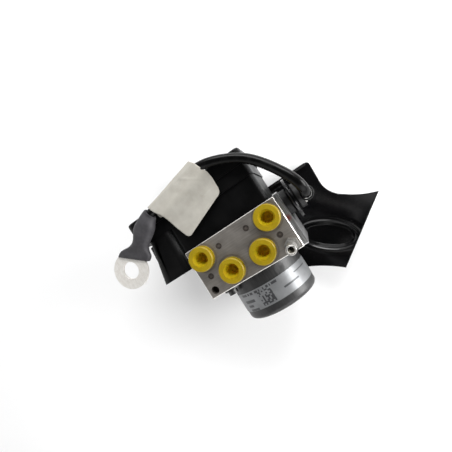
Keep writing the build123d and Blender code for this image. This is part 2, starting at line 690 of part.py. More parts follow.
# Pump elements: piston, spring and cap on each side of the eccentric
piston_back = PISTON_SHOULDER + PISTON_COLLAR
cap_from = HALF_LENGTH - PUMP_CAP_LENGTH
pump_spring_length = cap_from - piston_back - 2 * SPRING_GAP
for number, side in enumerate((-1, 1), start=1):
    with BuildPart() as pump_piston:
        with BuildSketch(pump_face(side, piston_tip)):
            Circle(PISTON_RADIUS)
        extrude(amount=piston_back - piston_tip)
        with BuildSketch(pump_face(side, PISTON_SHOULDER)):
            Circle(PISTON_COLLAR_RADIUS)
        extrude(amount=PISTON_COLLAR)
    write(pump_piston, f"pump_piston_{number}")

    with BuildPart() as pump_spring:
        spring_from = piston_back + SPRING_GAP + PUMP_SPRING_WIRE / 2
        spring_start = (side * spring_from, pump_y, motor_axis_z)
        with BuildLine():
            coil_line = Helix(
                (pump_spring_length - PUMP_SPRING_WIRE) / SPRING_TURNS,
                pump_spring_length - PUMP_SPRING_WIRE,
                PUMP_SPRING_RADIUS,
                center=spring_start,
                direction=(side, 0, 0),
            )
        with BuildSketch(Plane(origin=coil_line @ 0, z_dir=coil_line % 0)):
            RegularPolygon(PUMP_SPRING_WIRE / 2, 6)
        sweep(is_frenet=True)
    write(pump_spring, f"pump_spring_{number}")

    with BuildPart() as pump_cap:
        with BuildSketch(pump_face(side, cap_from)):
            Circle(PUMP_CHAMBER_RADIUS - PRESS_CLEARANCE)
        extrude(amount=PUMP_CAP_LENGTH)
        with BuildSketch(pump_face(side, HALF_LENGTH)):
            RegularPolygon(PUMP_CHAMBER_RADIUS / 2, 6)
        extrude(amount=-PUMP_CAP_LENGTH / 2, mode=Mode.SUBTRACT)
    write(pump_cap, f"pump_cap_{number}")

# Low-pressure accumulators: piston at the top of its bore, spring and cap below
accumulator_top = ACCUMULATOR_DEPTH - ACCUMULATOR_TOP_GAP
accumulator_low = accumulator_top - ACCUMULATOR_PISTON
accumulator_spring_length = accumulator_low - ACCUMULATOR_CAP - 2 * SPRING_GAP
for number, place_x in enumerate((-ACCUMULATOR_X, ACCUMULATOR_X), start=1):
    with BuildPart() as accumulator_piston:
        with BuildSketch(underside.offset(-accumulator_top)):
            with Locations((place_x, 0)):
                Circle(ACCUMULATOR_RADIUS - RUNNING_CLEARANCE)
        extrude(amount=ACCUMULATOR_PISTON)
    write(accumulator_piston, f"accumulator_piston_{number}")

    with BuildPart() as accumulator_spring:
        spring_floor = ACCUMULATOR_CAP + SPRING_GAP + ACCUMULATOR_WIRE / 2 - BLOCK_DEPTH
        with BuildLine():
            coil_line = Helix(
                (accumulator_spring_length - ACCUMULATOR_WIRE) / SPRING_TURNS,
                accumulator_spring_length - ACCUMULATOR_WIRE,
                ACCUMULATOR_SPRING_RADIUS,
                center=(place_x, 0, spring_floor),
            )
        with BuildSketch(Plane(origin=coil_line @ 0, z_dir=coil_line % 0)):
            RegularPolygon(ACCUMULATOR_WIRE / 2, 6)
        sweep(is_frenet=True)
    write(accumulator_spring, f"accumulator_spring_{number}")

    with BuildPart() as accumulator_cap:
        with BuildSketch(underside):
            with Locations((place_x, 0)):
                Circle(ACCUMULATOR_RADIUS - PRESS_CLEARANCE)
        extrude(amount=-ACCUMULATOR_CAP)
        with BuildSketch(underside):
            with Locations((place_x, 0)):
                Circle(ACCUMULATOR_RADIUS / 3)
        extrude(amount=-ACCUMULATOR_CAP / 3, mode=Mode.SUBTRACT)
    write(accumulator_cap, f"accumulator_cap_{number}")

# Solenoid valves in the block, and their coils in the control unit
board_from = FLANGE_FROM + ECU_WALL
for number, (place_x, depth) in enumerate(valve_places, start=1):
    with BuildPart() as valve:
        with BuildSketch(valve_face.offset(-VALVE_DEPTH)):
            with Locations((place_x, depth)):
                Circle(VALVE_RADIUS)
        extrude(amount=VALVE_DEPTH)
        with BuildSketch(valve_face):
            with Locations((place_x, depth)):
                Circle(VALVE_COLLAR_RADIUS)
        extrude(amount=VALVE_COLLAR)
        with BuildSketch(valve_face):
            with Locations((place_x, depth)):
                Circle(VALVE_STEM_RADIUS)
        extrude(amount=VALVE_STEM)
    write(valve, f"solenoid_valve_{number}")

    with BuildPart() as coil:
        with BuildSketch(valve_face.offset(FLOOR_THICKNESS)):
            with Locations((place_x, depth)):
                Circle(COIL_RADIUS)
                Circle(VALVE_STEM_RADIUS + VALVE_CLEARANCE, mode=Mode.SUBTRACT)
        extrude(amount=COIL_LENGTH)
        with BuildSketch(valve_face.offset(FLOOR_THICKNESS + COIL_LENGTH)):
            with Locations((place_x, depth)):
                with GridLocations(2 * COIL_PIN_PITCH, 1, 2, 1):
                    Circle(COIL_PIN_RADIUS)
        extrude(amount=board_from - HALF_WIDTH - FLOOR_THICKNESS - COIL_LENGTH)
    write(coil, f"solenoid_coil_{number}")


def box_between(low, high):
    size = [b - a for a, b in zip(low, high)]
    middle = [(a + b) / 2 for a, b in zip(low, high)]
    with Locations(tuple(middle)):
        return Box(*size)


# Control unit housing: body, wider flange and the plug connector's shroud in one moulding
shroud_middle_z = (SHROUD_NEAR + shroud_far) / 2
shroud_height = SHROUD_NEAR - shroud_far
seal_left = SEAL_INSET - HALF_LENGTH
seal_right = BODY_RIGHT - SEAL_INSET
seal_length = seal_right - seal_left
seal_height = BODY_NEAR - body_far - 2 * SEAL_INSET
seal_middle = ((seal_left + seal_right) / 2, -(BODY_NEAR + body_far) / 2)


def shroud_section(y, left, right, wall):
    plane = Plane(origin=((left + right) / 2, y, shroud_middle_z), x_dir=(1, 0, 0), z_dir=(0, -1, 0))
    with BuildSketch(plane, mode=Mode.PRIVATE) as section:
        width = right - left - 2 * wall
        RectangleRounded(width, shroud_height - 2 * wall, SHROUD_CORNER - wall)
    return section.sketch.faces()


with BuildPart() as ecu_housing:
    with BuildSketch(valve_face):
        with Locations(((BODY_LEFT + BODY_RIGHT) / 2, -(BODY_NEAR + body_far) / 2)):
            RectangleRounded(BODY_RIGHT - BODY_LEFT, BODY_NEAR - body_far, BODY_CORNER)
    extrude(amount=FLANGE_FROM - HALF_WIDTH)
    with BuildSketch(valve_face.offset(FLANGE_FROM - HALF_WIDTH)):
        with Locations(((FLANGE_LEFT + FLANGE_RIGHT) / 2, -(FLANGE_NEAR + flange_far) / 2)):
            RectangleRounded(FLANGE_RIGHT - FLANGE_LEFT, FLANGE_NEAR - flange_far, BODY_CORNER)
    extrude(amount=LID_FROM - FLANGE_FROM)
    loft(
        sections=[
            *shroud_section(FLANGE_FROM, SHROUD_LEFT_ROOT, SHROUD_RIGHT_ROOT, 0),
            *shroud_section(SHROUD_MOUTH, SHROUD_LEFT_MOUTH, SHROUD_RIGHT_MOUTH, 0),
        ]
    )
    loft(
        sections=[
            *shroud_section(SOCKET_FLOOR, SHROUD_LEFT_ROOT, SHROUD_RIGHT_ROOT, SHROUD_WALL),
            *shroud_section(SHROUD_MOUTH, SHROUD_LEFT_MOUTH, SHROUD_RIGHT_MOUTH, SHROUD_WALL),
        ],
        mode=Mode.SUBTRACT,
    )
    with BuildSketch(valve_face.offset(FLOOR_THICKNESS)):
        with Locations(((BODY_LEFT + BODY_RIGHT) / 2, -(BODY_NEAR + body_far) / 2)):
            Rectangle(BODY_RIGHT - BODY_LEFT - 2 * ECU_WALL, BODY_NEAR - body_far - 2 * ECU_WALL)
    extrude(amount=LID_FROM - HALF_WIDTH, mode=Mode.SUBTRACT)
    with BuildSketch(valve_face.offset(board_from - HALF_WIDTH)):
        with Locations(((FLANGE_LEFT + FLANGE_RIGHT) / 2, -(FLANGE_NEAR + flange_far) / 2)):
            Rectangle(FLANGE_RIGHT - FLANGE_LEFT - 2 * ECU_WALL, FLANGE_NEAR - flange_far - 2 * ECU_WALL)
    extrude(amount=LID_FROM - board_from, mode=Mode.SUBTRACT)
    with BuildSketch(valve_face):
        with Locations(*valve_places):
            Circle(VALVE_COLLAR_RADIUS + VALVE_CLEARANCE)
        with Locations(*ecu_screw_places):
            Circle(ECU_SCREW_RADIUS + SCREW_CLEARANCE)
    extrude(amount=FLOOR_THICKNESS, mode=Mode.SUBTRACT)
    with BuildSketch(valve_face):
        with Locations(seal_middle):
            Rectangle(seal_length, seal_height)
            Rectangle(seal_length - 2 * SEAL_WIDTH, seal_height - 2 * SEAL_WIDTH, mode=Mode.SUBTRACT)
    extrude(amount=SEAL_DEPTH, mode=Mode.SUBTRACT)
write(ecu_housing, "ecu_housing")

with BuildPart() as ecu_seal:
    with BuildSketch(valve_face):
        with Locations(seal_middle):
            Rectangle(seal_length, seal_height)
            Rectangle(seal_length - 2 * SEAL_WIDTH, seal_height - 2 * SEAL_WIDTH, mode=Mode.SUBTRACT)
    extrude(amount=SEAL_DEPTH)
write(ecu_seal, "ecu_seal")

# Lid of the control unit: a shallow tray welded on the flange
with BuildPart() as ecu_lid:
    box_between((FLANGE_LEFT, LID_FROM, lid_far), (LID_RIGHT, LID_TO, LID_NEAR))
    fillet(ecu_lid.edges().filter_by(Axis.Y), BODY_CORNER)
    fillet(ecu_lid.faces().sort_by(Axis.Y)[-1].edges(), LID_ROUNDING)
    with BuildSketch(valve_face.offset(LID_FROM - HALF_WIDTH)):
        with Locations(((FLANGE_LEFT + FLANGE_RIGHT) / 2, -(FLANGE_NEAR + flange_far) / 2)):
            Rectangle(FLANGE_RIGHT - FLANGE_LEFT - 2 * ECU_WALL, FLANGE_NEAR - flange_far - 2 * ECU_WALL)
    extrude(amount=LID_TO - LID_FROM - ECU_WALL, mode=Mode.SUBTRACT)
write(ecu_lid, "ecu_lid")

# Circuit board, resting on the floor of the flange
with BuildPart() as circuit_board:
    box_between(
        (FLANGE_LEFT + ECU_WALL + BOARD_GAP, board_from, flange_far + ECU_WALL + BOARD_GAP),
        (
            FLANGE_RIGHT - ECU_WALL - BOARD_GAP,
            board_from + BOARD_THICKNESS,
            FLANGE_NEAR - ECU_WALL - BOARD_GAP,
        ),
    )
write(circuit_board, "circuit_board")

# Blade pins standing on the socket's floor
socket_middle_x = (SHROUD_LEFT_ROOT + SHROUD_RIGHT_ROOT) / 2
with BuildPart() as connector_pins:
    socket_floor = (socket_middle_x, SOCKET_FLOOR, shroud_middle_z)
    with BuildSketch(Plane(origin=socket_floor, x_dir=(1, 0, 0), z_dir=(0, -1, 0))):
        with GridLocations(PIN_COLUMN_PITCH, PIN_PITCH, PIN_COLUMNS, PIN_ROWS):
            Rectangle(PIN_THICKNESS, PIN_WIDTH)
    extrude(amount=PIN_LENGTH)
write(connector_pins, "connector_pins")

with BuildPart() as ecu_screws:
    with BuildSketch(valve_face.offset(-ECU_SCREW_GRIP)):
        with Locations(*ecu_screw_places):
            Circle(ECU_SCREW_RADIUS)
    extrude(amount=ECU_SCREW_GRIP + FLOOR_THICKNESS)
    with BuildSketch(valve_face.offset(FLOOR_THICKNESS)):
        with Locations(*ecu_screw_places):
            Circle(ECU_SCREW_HEAD)
    extrude(amount=ECU_SCREW_HEAD_HEIGHT)
write(ecu_screws, "ecu_screws")

# Steel side plate
with BuildPart() as side_plate:
    box_between((HALF_LENGTH, PLATE_FRONT, plate_bottom), (plate_face, PLATE_BACK, PLATE_TOP))
    fillet(side_plate.edges().filter_by(Axis.X), PLATE_CORNER)
    with BuildSketch(isolator_face):
        Circle(BOLT_RADIUS + PLATE_HOLE_CLEARANCE)
    extrude(amount=-PLATE_THICKNESS, mode=Mode.SUBTRACT)
write(side_plate, "side_plate")

# Rubber isolator with a groove that holds the bracket's ear
groove_from = ISOLATOR_BASE
groove_to = ISOLATOR_BASE + ISOLATOR_NECK
with BuildPart() as isolator_bush:
    with BuildSketch(isolator_face):
        Circle(ISOLATOR_BASE_RADIUS)
    extrude(amount=ISOLATOR_BASE)
    with BuildSketch(isolator_face.offset(groove_to)):
        Circle(ISOLATOR_FLANGE_RADIUS)
    extrude(amount=ISOLATOR_FLANGE)
    outer_rims = isolator_bush.edges().group_by(Axis.X)
    fillet(outer_rims[1] + outer_rims[2] + outer_rims[3], ISOLATOR_ROUNDING)
    with BuildSketch(isolator_face.offset(groove_from)):
        Circle(ISOLATOR_NECK_RADIUS)
    extrude(amount=ISOLATOR_NECK)
    with BuildSketch(isolator_face):
        Circle(sleeve_radius)
    extrude(amount=isolator_length, mode=Mode.SUBTRACT)
write(isolator_bush, "isolator_bush")

# Flanged bolt through terminal, isolator and plate
bolt_seat = isolator_length + LUG_THICKNESS
with BuildPart() as isolator_bolt:
    with BuildSketch(isolator_face.offset(-PLATE_THICKNESS - BOLT_GRIP)):
        Circle(BOLT_RADIUS)
    extrude(amount=BOLT_GRIP + PLATE_THICKNESS + bolt_seat)
    with BuildSketch(isolator_face.offset(bolt_seat)):
        Circle(BOLT_FLANGE_RADIUS)
    extrude(amount=BOLT_FLANGE, taper=BOLT_FLANGE_TAPER)
    with BuildSketch(isolator_face.offset(bolt_seat + BOLT_FLANGE)):
        RegularPolygon(BOLT_HEAD_WIDTH / 2, 6, major_radius=False)
    extrude(amount=BOLT_HEAD)
write(isolator_bolt, "isolator_bolt")

# Terminal under the bolt: ring, strap and upright crimp barrel
lug_plane = isolator_face.offset(isolator_length)
barrel_y = LUG_BARREL_Y - ISOLATOR_Y
strap_rise = LUG_STRAP_TOP + ISOLATOR_DEPTH
with BuildPart() as bolt_terminal:
    with BuildSketch(lug_plane):
        Circle(LUG_RADIUS)
        with Locations((barrel_y, strap_rise / 2)):
            Rectangle(LUG_STRAP_WIDTH, strap_rise)
        Circle(sleeve_radius, mode=Mode.SUBTRACT)
    extrude(amount=LUG_THICKNESS)
    with BuildSketch(Plane.XY.offset(LUG_BARREL_BOTTOM)):
        with Locations((LUG_BARREL_X, LUG_BARREL_Y)):
            Circle(LUG_BARREL_RADIUS)
    extrude(amount=LUG_BARREL_TOP - LUG_BARREL_BOTTOM)
write(bolt_terminal, "bolt_terminal")

# Rubber boot over the crimp barrel and the cable's end
with BuildPart() as cable_boot:
    with BuildSketch(Plane.XY.offset(BOOT_BOTTOM)):
        with Locations((LUG_BARREL_X, LUG_BARREL_Y)):
            Circle(BOOT_RADIUS)
            Circle(BOOT_INNER, mode=Mode.SUBTRACT)
    extrude(amount=BOOT_TOP - BOOT_BOTTOM)
    fillet(cable_boot.edges().group_by(Axis.Z)[-1], BOOT_BEAD)
write(cable_boot, "cable_boot")

# Cable: straight runs joined by tangent arcs, each arc as large as its two runs allow
route = [Vector(*point) for point in ROUTE]
runs = [b - a for a, b in zip(route, route[1:])]
arc_radii = []
for before, after in zip(runs, runs[1:]):
    half_turn = radians(before.get_angle(after)) / 2
    arc_radii.append(CABLE_ARC_SHARE * min(before.length, after.length) / tan(half_turn))
with BuildPart() as earth_cable:
    with BuildLine() as cable_line:
        FilletPolyline(*route, radius=arc_radii)
    with BuildSketch(Plane(origin=route[0], z_dir=runs[0])):
        Circle(CABLE_RADIUS)
    sweep()
write(earth_cable, "earth_cable")
cable_length = sum(edge.length for edge in cable_line.edges())
print("cable length", round(cable_length, 1), "radii", [round(r, 1) for r in arc_radii])
print("cable volume", round(earth_cable.part.volume), "of", round(pi * CABLE_RADIUS**2 * cable_length))

# Free ring terminal, with its tongue inside the sleeve
terminal_plane = Plane(
    origin=(*TERMINAL_CENTRE, TERMINAL_MID - TERMINAL_THICKNESS / 2),
    x_dir=(cos(radians(TERMINAL_HEADING)), sin(radians(TERMINAL_HEADING)), 0),
    z_dir=(0, 0, 1),
)
with BuildPart() as ring_terminal:
    with BuildSketch(terminal_plane):
        Circle(TERMINAL_RADIUS)
        with Locations((TERMINAL_TONGUE, 0)):
            Rectangle(TERMINAL_TONGUE_END, TERMINAL_TONGUE_WIDTH)
        make_hull()
        Circle(TERMINAL_HOLE, mode=Mode.SUBTRACT)
    extrude(amount=TERMINAL_THICKNESS)
write(ring_terminal, "ring_terminal")


def sleeve_section(x, y, z, heading, width, height):
    ahead = (cos(radians(heading)), sin(radians(heading)), 0)
    across = (sin(radians(heading)), -cos(radians(heading)), 0)
    with BuildSketch(Plane(origin=(x, y, z), x_dir=across, z_dir=ahead), mode=Mode.PRIVATE) as section:
        RectangleRounded(width, height, height / 2 - SLEEVE_FLAT)
    return section.sketch.faces()


# Heat-shrink sleeve from the cable to the terminal, flattened at the far end
with BuildPart() as heat_shrink:
    loft(sections=[face for section in SLEEVE for face in sleeve_section(*section)])
    with BuildSketch(terminal_plane.offset(-TERMINAL_CLEARANCE)):
        Circle(TERMINAL_RADIUS + TERMINAL_CLEARANCE)
        with Locations((TERMINAL_TONGUE, 0)):
            Rectangle(
                TERMINAL_TONGUE_END + 2 * TERMINAL_CLEARANCE,
                TERMINAL_TONGUE_WIDTH + 2 * TERMINAL_CLEARANCE,
            )
        make_hull()
    extrude(amount=TERMINAL_THICKNESS + 2 * TERMINAL_CLEARANCE, mode=Mode.SUBTRACT)
write(heat_shrink, "heat_shrink")

# Fabric flag: two layers, with a tunnel for the cable at the fold
flag_along = (cos(radians(FLAG_HEADING)), sin(radians(FLAG_HEADING)), 0)
flag_down = (sin(radians(FLAG_HEADING)), -cos(radians(FLAG_HEADING)), 0)
flag_length = 2 * (FLAG_CORNERS[0][0] - FLAG_CORNERS[1][0])
fold_start = (
    FLAG_CORNERS[0][0] - flag_length * flag_along[0],
    FLAG_CORNERS[0][1] - flag_length * flag_along[1],
    CABLE_REST,
)
flag_low = -FLAG_TUNNEL + FLAG_THICKNESS
with BuildPart() as cable_label:
    with BuildSketch(Plane(origin=fold_start, x_dir=flag_down, z_dir=flag_along)):
        with Locations((FLAG_TUNNEL_NEAR, 0), (FLAG_TUNNEL_FAR, 0)):
            Circle(FLAG_TUNNEL)
        with Locations((FLAG_JOIN, -flag_low)):
            Circle(FLAG_THICKNESS)
        make_hull()
    extrude(amount=2 * flag_length)
    with BuildSketch(Plane(origin=fold_start, x_dir=flag_down, z_dir=flag_along)):
        with Locations((FLAG_TUNNEL_NEAR, 0), (FLAG_TUNNEL_FAR, 0)):
            Circle(FLAG_TUNNEL - FLAG_THICKNESS)
        make_hull()
    extrude(amount=2 * flag_length, mode=Mode.SUBTRACT)
    with BuildSketch(Plane(origin=fold_start, x_dir=flag_down, z_dir=flag_along)):
        with BuildLine():
            Polyline(
                (FLAG_JOIN, -flag_low - FLAG_THICKNESS),
                (FLAG_REACH, -flag_low - FLAG_THICKNESS + FLAG_SLOPE),
                (FLAG_REACH, -flag_low + FLAG_THICKNESS + FLAG_SLOPE),
                (FLAG_JOIN, -flag_low + FLAG_THICKNESS),
                close=True,
            )
        make_face()
    extrude(amount=2 * flag_length)
    with BuildSketch(Plane.XY.offset(-2 * CABLE_RADIUS)) as flag_outline:
        with BuildLine():
            Polyline(*FLAG_CORNERS, close=True)
        make_face()
        fillet(flag_outline.vertices().sort_by(Axis.Y)[:2], FLAG_CORNER)
    extrude(amount=6 * CABLE_RADIUS, mode=Mode.INTERSECT)
write(cable_label, "cable_label")

# Saddle bracket: flat base, wing curved upwards, back lip, pressed bead and grommet island
wing_across = (cos(radians(WING_HEADING)), sin(radians(WING_HEADING)), 0)
wing_normal = (sin(radians(WING_HEADING)), -cos(radians(WING_HEADING)), 0)
sheet_span = 2 * (OUTLINE_RIGHT - OUTLINE_LEFT)
wing_section = Plane(origin=(0, 0, base_underside), x_dir=wing_across, z_dir=wing_normal)
wing_start_plane = wing_section.offset(-sheet_span)


def sheet_slab(low, high, mode=Mode.ADD):
    """Fill between two levels that both follow the flat base and the curved wing."""
    centre = (WING_START, SHEET + WING_RADIUS)
    with BuildSketch(wing_start_plane, mode=Mode.PRIVATE) as slab:
        with BuildLine():
            low_arc = CenterArc(centre, WING_RADIUS + SHEET - low, -90, WING_ARC)
            high_arc = CenterArc(centre, WING_RADIUS + SHEET - high, -90, WING_ARC)
            Line(low_arc @ 1, high_arc @ 1)
            Polyline(low_arc @ 0, (-sheet_span, low), (-sheet_span, high), high_arc @ 0)
        make_face()
    return extrude(slab.sketch, amount=2 * sheet_span, mode=mode)


def bead_cone(spread):
    """Fill an oval cone whose walls lean out by BEAD_TAPER over the bead's depth."""
    reach = 2 * BEAD_DEPTH
    faces = []
    for level in (-reach, reach):
        grow = spread + BEAD_TAPER * level / BEAD_DEPTH
        with BuildSketch(bead_plane.offset(level), mode=Mode.PRIVATE) as oval:
            Ellipse(BEAD_LENGTH / 2 + grow, BEAD_WIDTH / 2 + grow)
        faces += oval.sketch.faces()
    return loft(sections=faces, ruled=True)


bead_across = BEAD_PLACE[0] * wing_across[0] + BEAD_PLACE[1] * wing_across[1] - WING_START
bead_slope = asin(bead_across / WING_RADIUS)
bead_height = SHEET + WING_RADIUS * (1 - cos(bead_slope))
bead_plane = Plane(
    origin=(*BEAD_PLACE, base_underside + bead_height),
    x_dir=(cos(radians(BEAD_HEADING)), sin(radians(BEAD_HEADING)), tan(bead_slope)),
    z_dir=(-sin(bead_slope) * wing_across[0], -sin(bead_slope) * wing_across[1], cos(bead_slope)),
)
bead_wall = SHEET / cos(atan(BEAD_TAPER / BEAD_DEPTH))
with BuildPart() as bead_dish:
    bead_cone(bead_wall)
    sheet_slab(-BEAD_DEPTH, SHEET / 2, Mode.INTERSECT)

with BuildPart() as bead_pocket:
    bead_cone(0)
    sheet_slab(SHEET - BEAD_DEPTH, 2 * SHEET, Mode.INTERSECT)

with BuildPart() as saddle_bracket:
    sheet_slab(0, SHEET)
    with BuildSketch(Plane.XY.offset(base_underside)) as outline:
        with BuildLine():
            Polyline((OUTLINE_LEFT, OUTLINE_BACK), (OUTLINE_RIGHT, OUTLINE_BACK), WAIST_TOP)
            ThreePointArc(WAIST_TOP, WAIST_MID, WAIST_END)
            ThreePointArc(WAIST_END, WING_TIP_MID, WING_TIP)
            Line(WING_TIP, WING_CORNER)
            ThreePointArc(WING_CORNER, WING_FRONT_MID, WING_FRONT)
            Polyline(WING_FRONT, OUTLINE_FRONT, OUTLINE_FRONT_LEFT, (OUTLINE_LEFT, OUTLINE_BACK))
        make_face()
        fillet(outline.vertices().sort_by(Axis.Y)[-2:], OUTLINE_CORNER)
    extrude(amount=WING_RADIUS, mode=Mode.INTERSECT)
    box_between(
        (LIP_FROM, OUTLINE_BACK - SHEET, base_underside),
        (LIP_TO, OUTLINE_BACK, base_underside + SHEET + LIP_HEIGHT),
    )
    add(bead_dish.part)
    add(bead_pocket.part, mode=Mode.SUBTRACT)
    with BuildSketch(Plane.XY.offset(base_underside)):
        with Locations(ISLAND_PLACE):
            Circle(ISLAND_FOOT_RADIUS)
    extrude(amount=SHEET, mode=Mode.SUBTRACT)
    island_origin = (*ISLAND_PLACE, base_underside)
    with BuildSketch(Plane(origin=island_origin, x_dir=(1, 0, 0), z_dir=(0, -1, 0))):
        with BuildLine():
            Polyline(
                (ISLAND_FOOT_RADIUS, 0),
                (ISLAND_TOP_RADIUS, ISLAND_RISE),
                (ISLAND_HOLE, ISLAND_RISE),
                (ISLAND_HOLE, ISLAND_RISE + SHEET),
                (ISLAND_TOP_RADIUS, ISLAND_RISE + SHEET),
                (ISLAND_FOOT_RADIUS, SHEET),
                close=True,
            )
        make_face()
    revolve(axis=Axis(island_origin, (0, 0, 1)))
write(saddle_bracket, "saddle_bracket")

# Upright ear: folded from thicker sheet, its foot welded on the base under the block
foot_level = base_underside + SHEET
ear_plane = Plane(origin=(EAR_X, ISOLATOR_Y, -ISOLATOR_DEPTH), x_dir=(0, 1, 0), z_dir=(1, 0, 0))
ear_drop = -ISOLATOR_DEPTH - foot_level
with BuildPart() as bracket_ear:
    with BuildSketch(ear_plane):
        Circle(EAR_TOP_RADIUS)
        with Locations((EAR_TOP_RADIUS - EAR_FOOT_WIDTH / 2, EAR_BEND - ear_drop)):
            Rectangle(EAR_FOOT_WIDTH, 2 * EAR_BEND)
        make_hull()
        Circle(ISOLATOR_NECK_RADIUS + EAR_HOLE_CLEARANCE, mode=Mode.SUBTRACT)
    extrude(amount=EAR_SHEET)
    box_between(
        (EAR_X - EAR_FOOT, ISOLATOR_Y + EAR_TOP_RADIUS - EAR_FOOT_WIDTH, foot_level),
        (EAR_X, ISOLATOR_Y + EAR_TOP_RADIUS, foot_level + EAR_SHEET),
    )
    bend_edges = bracket_ear.edges().filter_by(Axis.Y)
    fillet(bend_edges.group_by(Axis.Z)[0].sort_by(Axis.X)[-1], EAR_BEND)
write(bracket_ear, "bracket_ear")

# Rubber grommet in the island, and the peg that is screwed into the block's underside
island_underside = base_underside + ISLAND_RISE
island_top = island_underside + SHEET
with BuildPart() as lower_grommet:
    with BuildSketch(Plane.XY.offset(island_top)):
        with Locations(ISLAND_PLACE):
            Circle(GROMMET_RADIUS)
    extrude(amount=-BLOCK_DEPTH - island_top)
    with BuildSketch(Plane.XY.offset(island_underside)):
        with Locations(ISLAND_PLACE):
            Circle(ISLAND_HOLE - GROMMET_GAP)
    extrude(amount=SHEET)
    with BuildSketch(Plane.XY.offset(island_underside)):
        with Locations(ISLAND_PLACE):
            Circle(GROMMET_LOW_RADIUS)
    extrude(amount=-GROMMET_LOW)
    with BuildSketch(Plane.XY.offset(island_underside - GROMMET_LOW)):
        with Locations(ISLAND_PLACE):
            Circle(PEG_RADIUS + PEG_CLEARANCE)
    extrude(amount=-BLOCK_DEPTH - island_underside + GROMMET_LOW, mode=Mode.SUBTRACT)
write(lower_grommet, "lower_grommet")

with BuildPart() as mounting_peg:
    with BuildSketch(Plane.XY.offset(island_underside - GROMMET_LOW)):
        with Locations(ISLAND_PLACE):
            Circle(PEG_RADIUS)
    extrude(amount=PEG_GRIP - BLOCK_DEPTH - island_underside + GROMMET_LOW)
    with BuildSketch(Plane.XY.offset(island_underside - GROMMET_LOW)):
        with Locations(ISLAND_PLACE):
            Circle(PEG_HEAD_RADIUS)
    extrude(amount=-PEG_HEAD)
write(mounting_peg, "mounting_peg")
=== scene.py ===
import json
import math

import bpy
from mathutils import Matrix, Vector


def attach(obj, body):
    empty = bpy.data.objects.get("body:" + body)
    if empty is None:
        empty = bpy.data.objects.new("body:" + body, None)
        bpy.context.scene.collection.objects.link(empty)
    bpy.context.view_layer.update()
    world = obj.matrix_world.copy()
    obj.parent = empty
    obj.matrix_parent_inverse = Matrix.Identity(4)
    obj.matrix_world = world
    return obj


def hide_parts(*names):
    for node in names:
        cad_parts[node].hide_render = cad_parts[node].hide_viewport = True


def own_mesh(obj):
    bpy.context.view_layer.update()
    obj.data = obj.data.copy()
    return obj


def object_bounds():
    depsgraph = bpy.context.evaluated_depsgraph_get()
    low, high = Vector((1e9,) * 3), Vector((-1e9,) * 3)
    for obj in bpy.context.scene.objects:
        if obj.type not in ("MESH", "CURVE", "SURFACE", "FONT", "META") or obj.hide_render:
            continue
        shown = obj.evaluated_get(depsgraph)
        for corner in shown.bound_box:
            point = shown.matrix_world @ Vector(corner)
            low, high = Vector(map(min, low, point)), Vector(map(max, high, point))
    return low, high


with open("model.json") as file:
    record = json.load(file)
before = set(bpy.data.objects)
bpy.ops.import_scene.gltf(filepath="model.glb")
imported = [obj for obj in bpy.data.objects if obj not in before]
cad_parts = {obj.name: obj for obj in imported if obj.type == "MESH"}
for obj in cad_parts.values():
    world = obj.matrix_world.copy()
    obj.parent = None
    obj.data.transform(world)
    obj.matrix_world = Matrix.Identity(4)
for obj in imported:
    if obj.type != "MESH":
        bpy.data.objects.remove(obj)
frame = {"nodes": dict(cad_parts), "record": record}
cad_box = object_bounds()
nodes = frame["nodes"]
slot_of = {part["node"]: part["material_slot"] for part in frame["record"]["subparts"]}
MM = 0.001


def add_object(name, data):
    thing = bpy.data.objects.new(name, data)
    bpy.context.scene.collection.objects.link(thing)
    return thing


def limited(value):
    """A share kept between 0 and 1."""
    return max(0.0, min(1.0, value))


# Camera at the photograph's viewing angle
camera_data = bpy.data.cameras.new("camera")
camera_data.sensor_width = 36.0
camera_data.sensor_fit = "HORIZONTAL"
camera_data.lens = 23.9
camera_data.clip_start = 0.01
camera = add_object("camera", camera_data)
camera.matrix_world = Matrix((
    (0.80737, 0.53000, 0.25933, 0.0544),
    (-0.53666, 0.84228, -0.05059, 0.0094),
    (-0.24524, -0.09833, 0.96446, 0.2026),
    (0.0, 0.0, 0.0, 1.0),
))
bpy.context.scene.camera = camera
bpy.context.scene.view_settings.view_transform = "Standard"


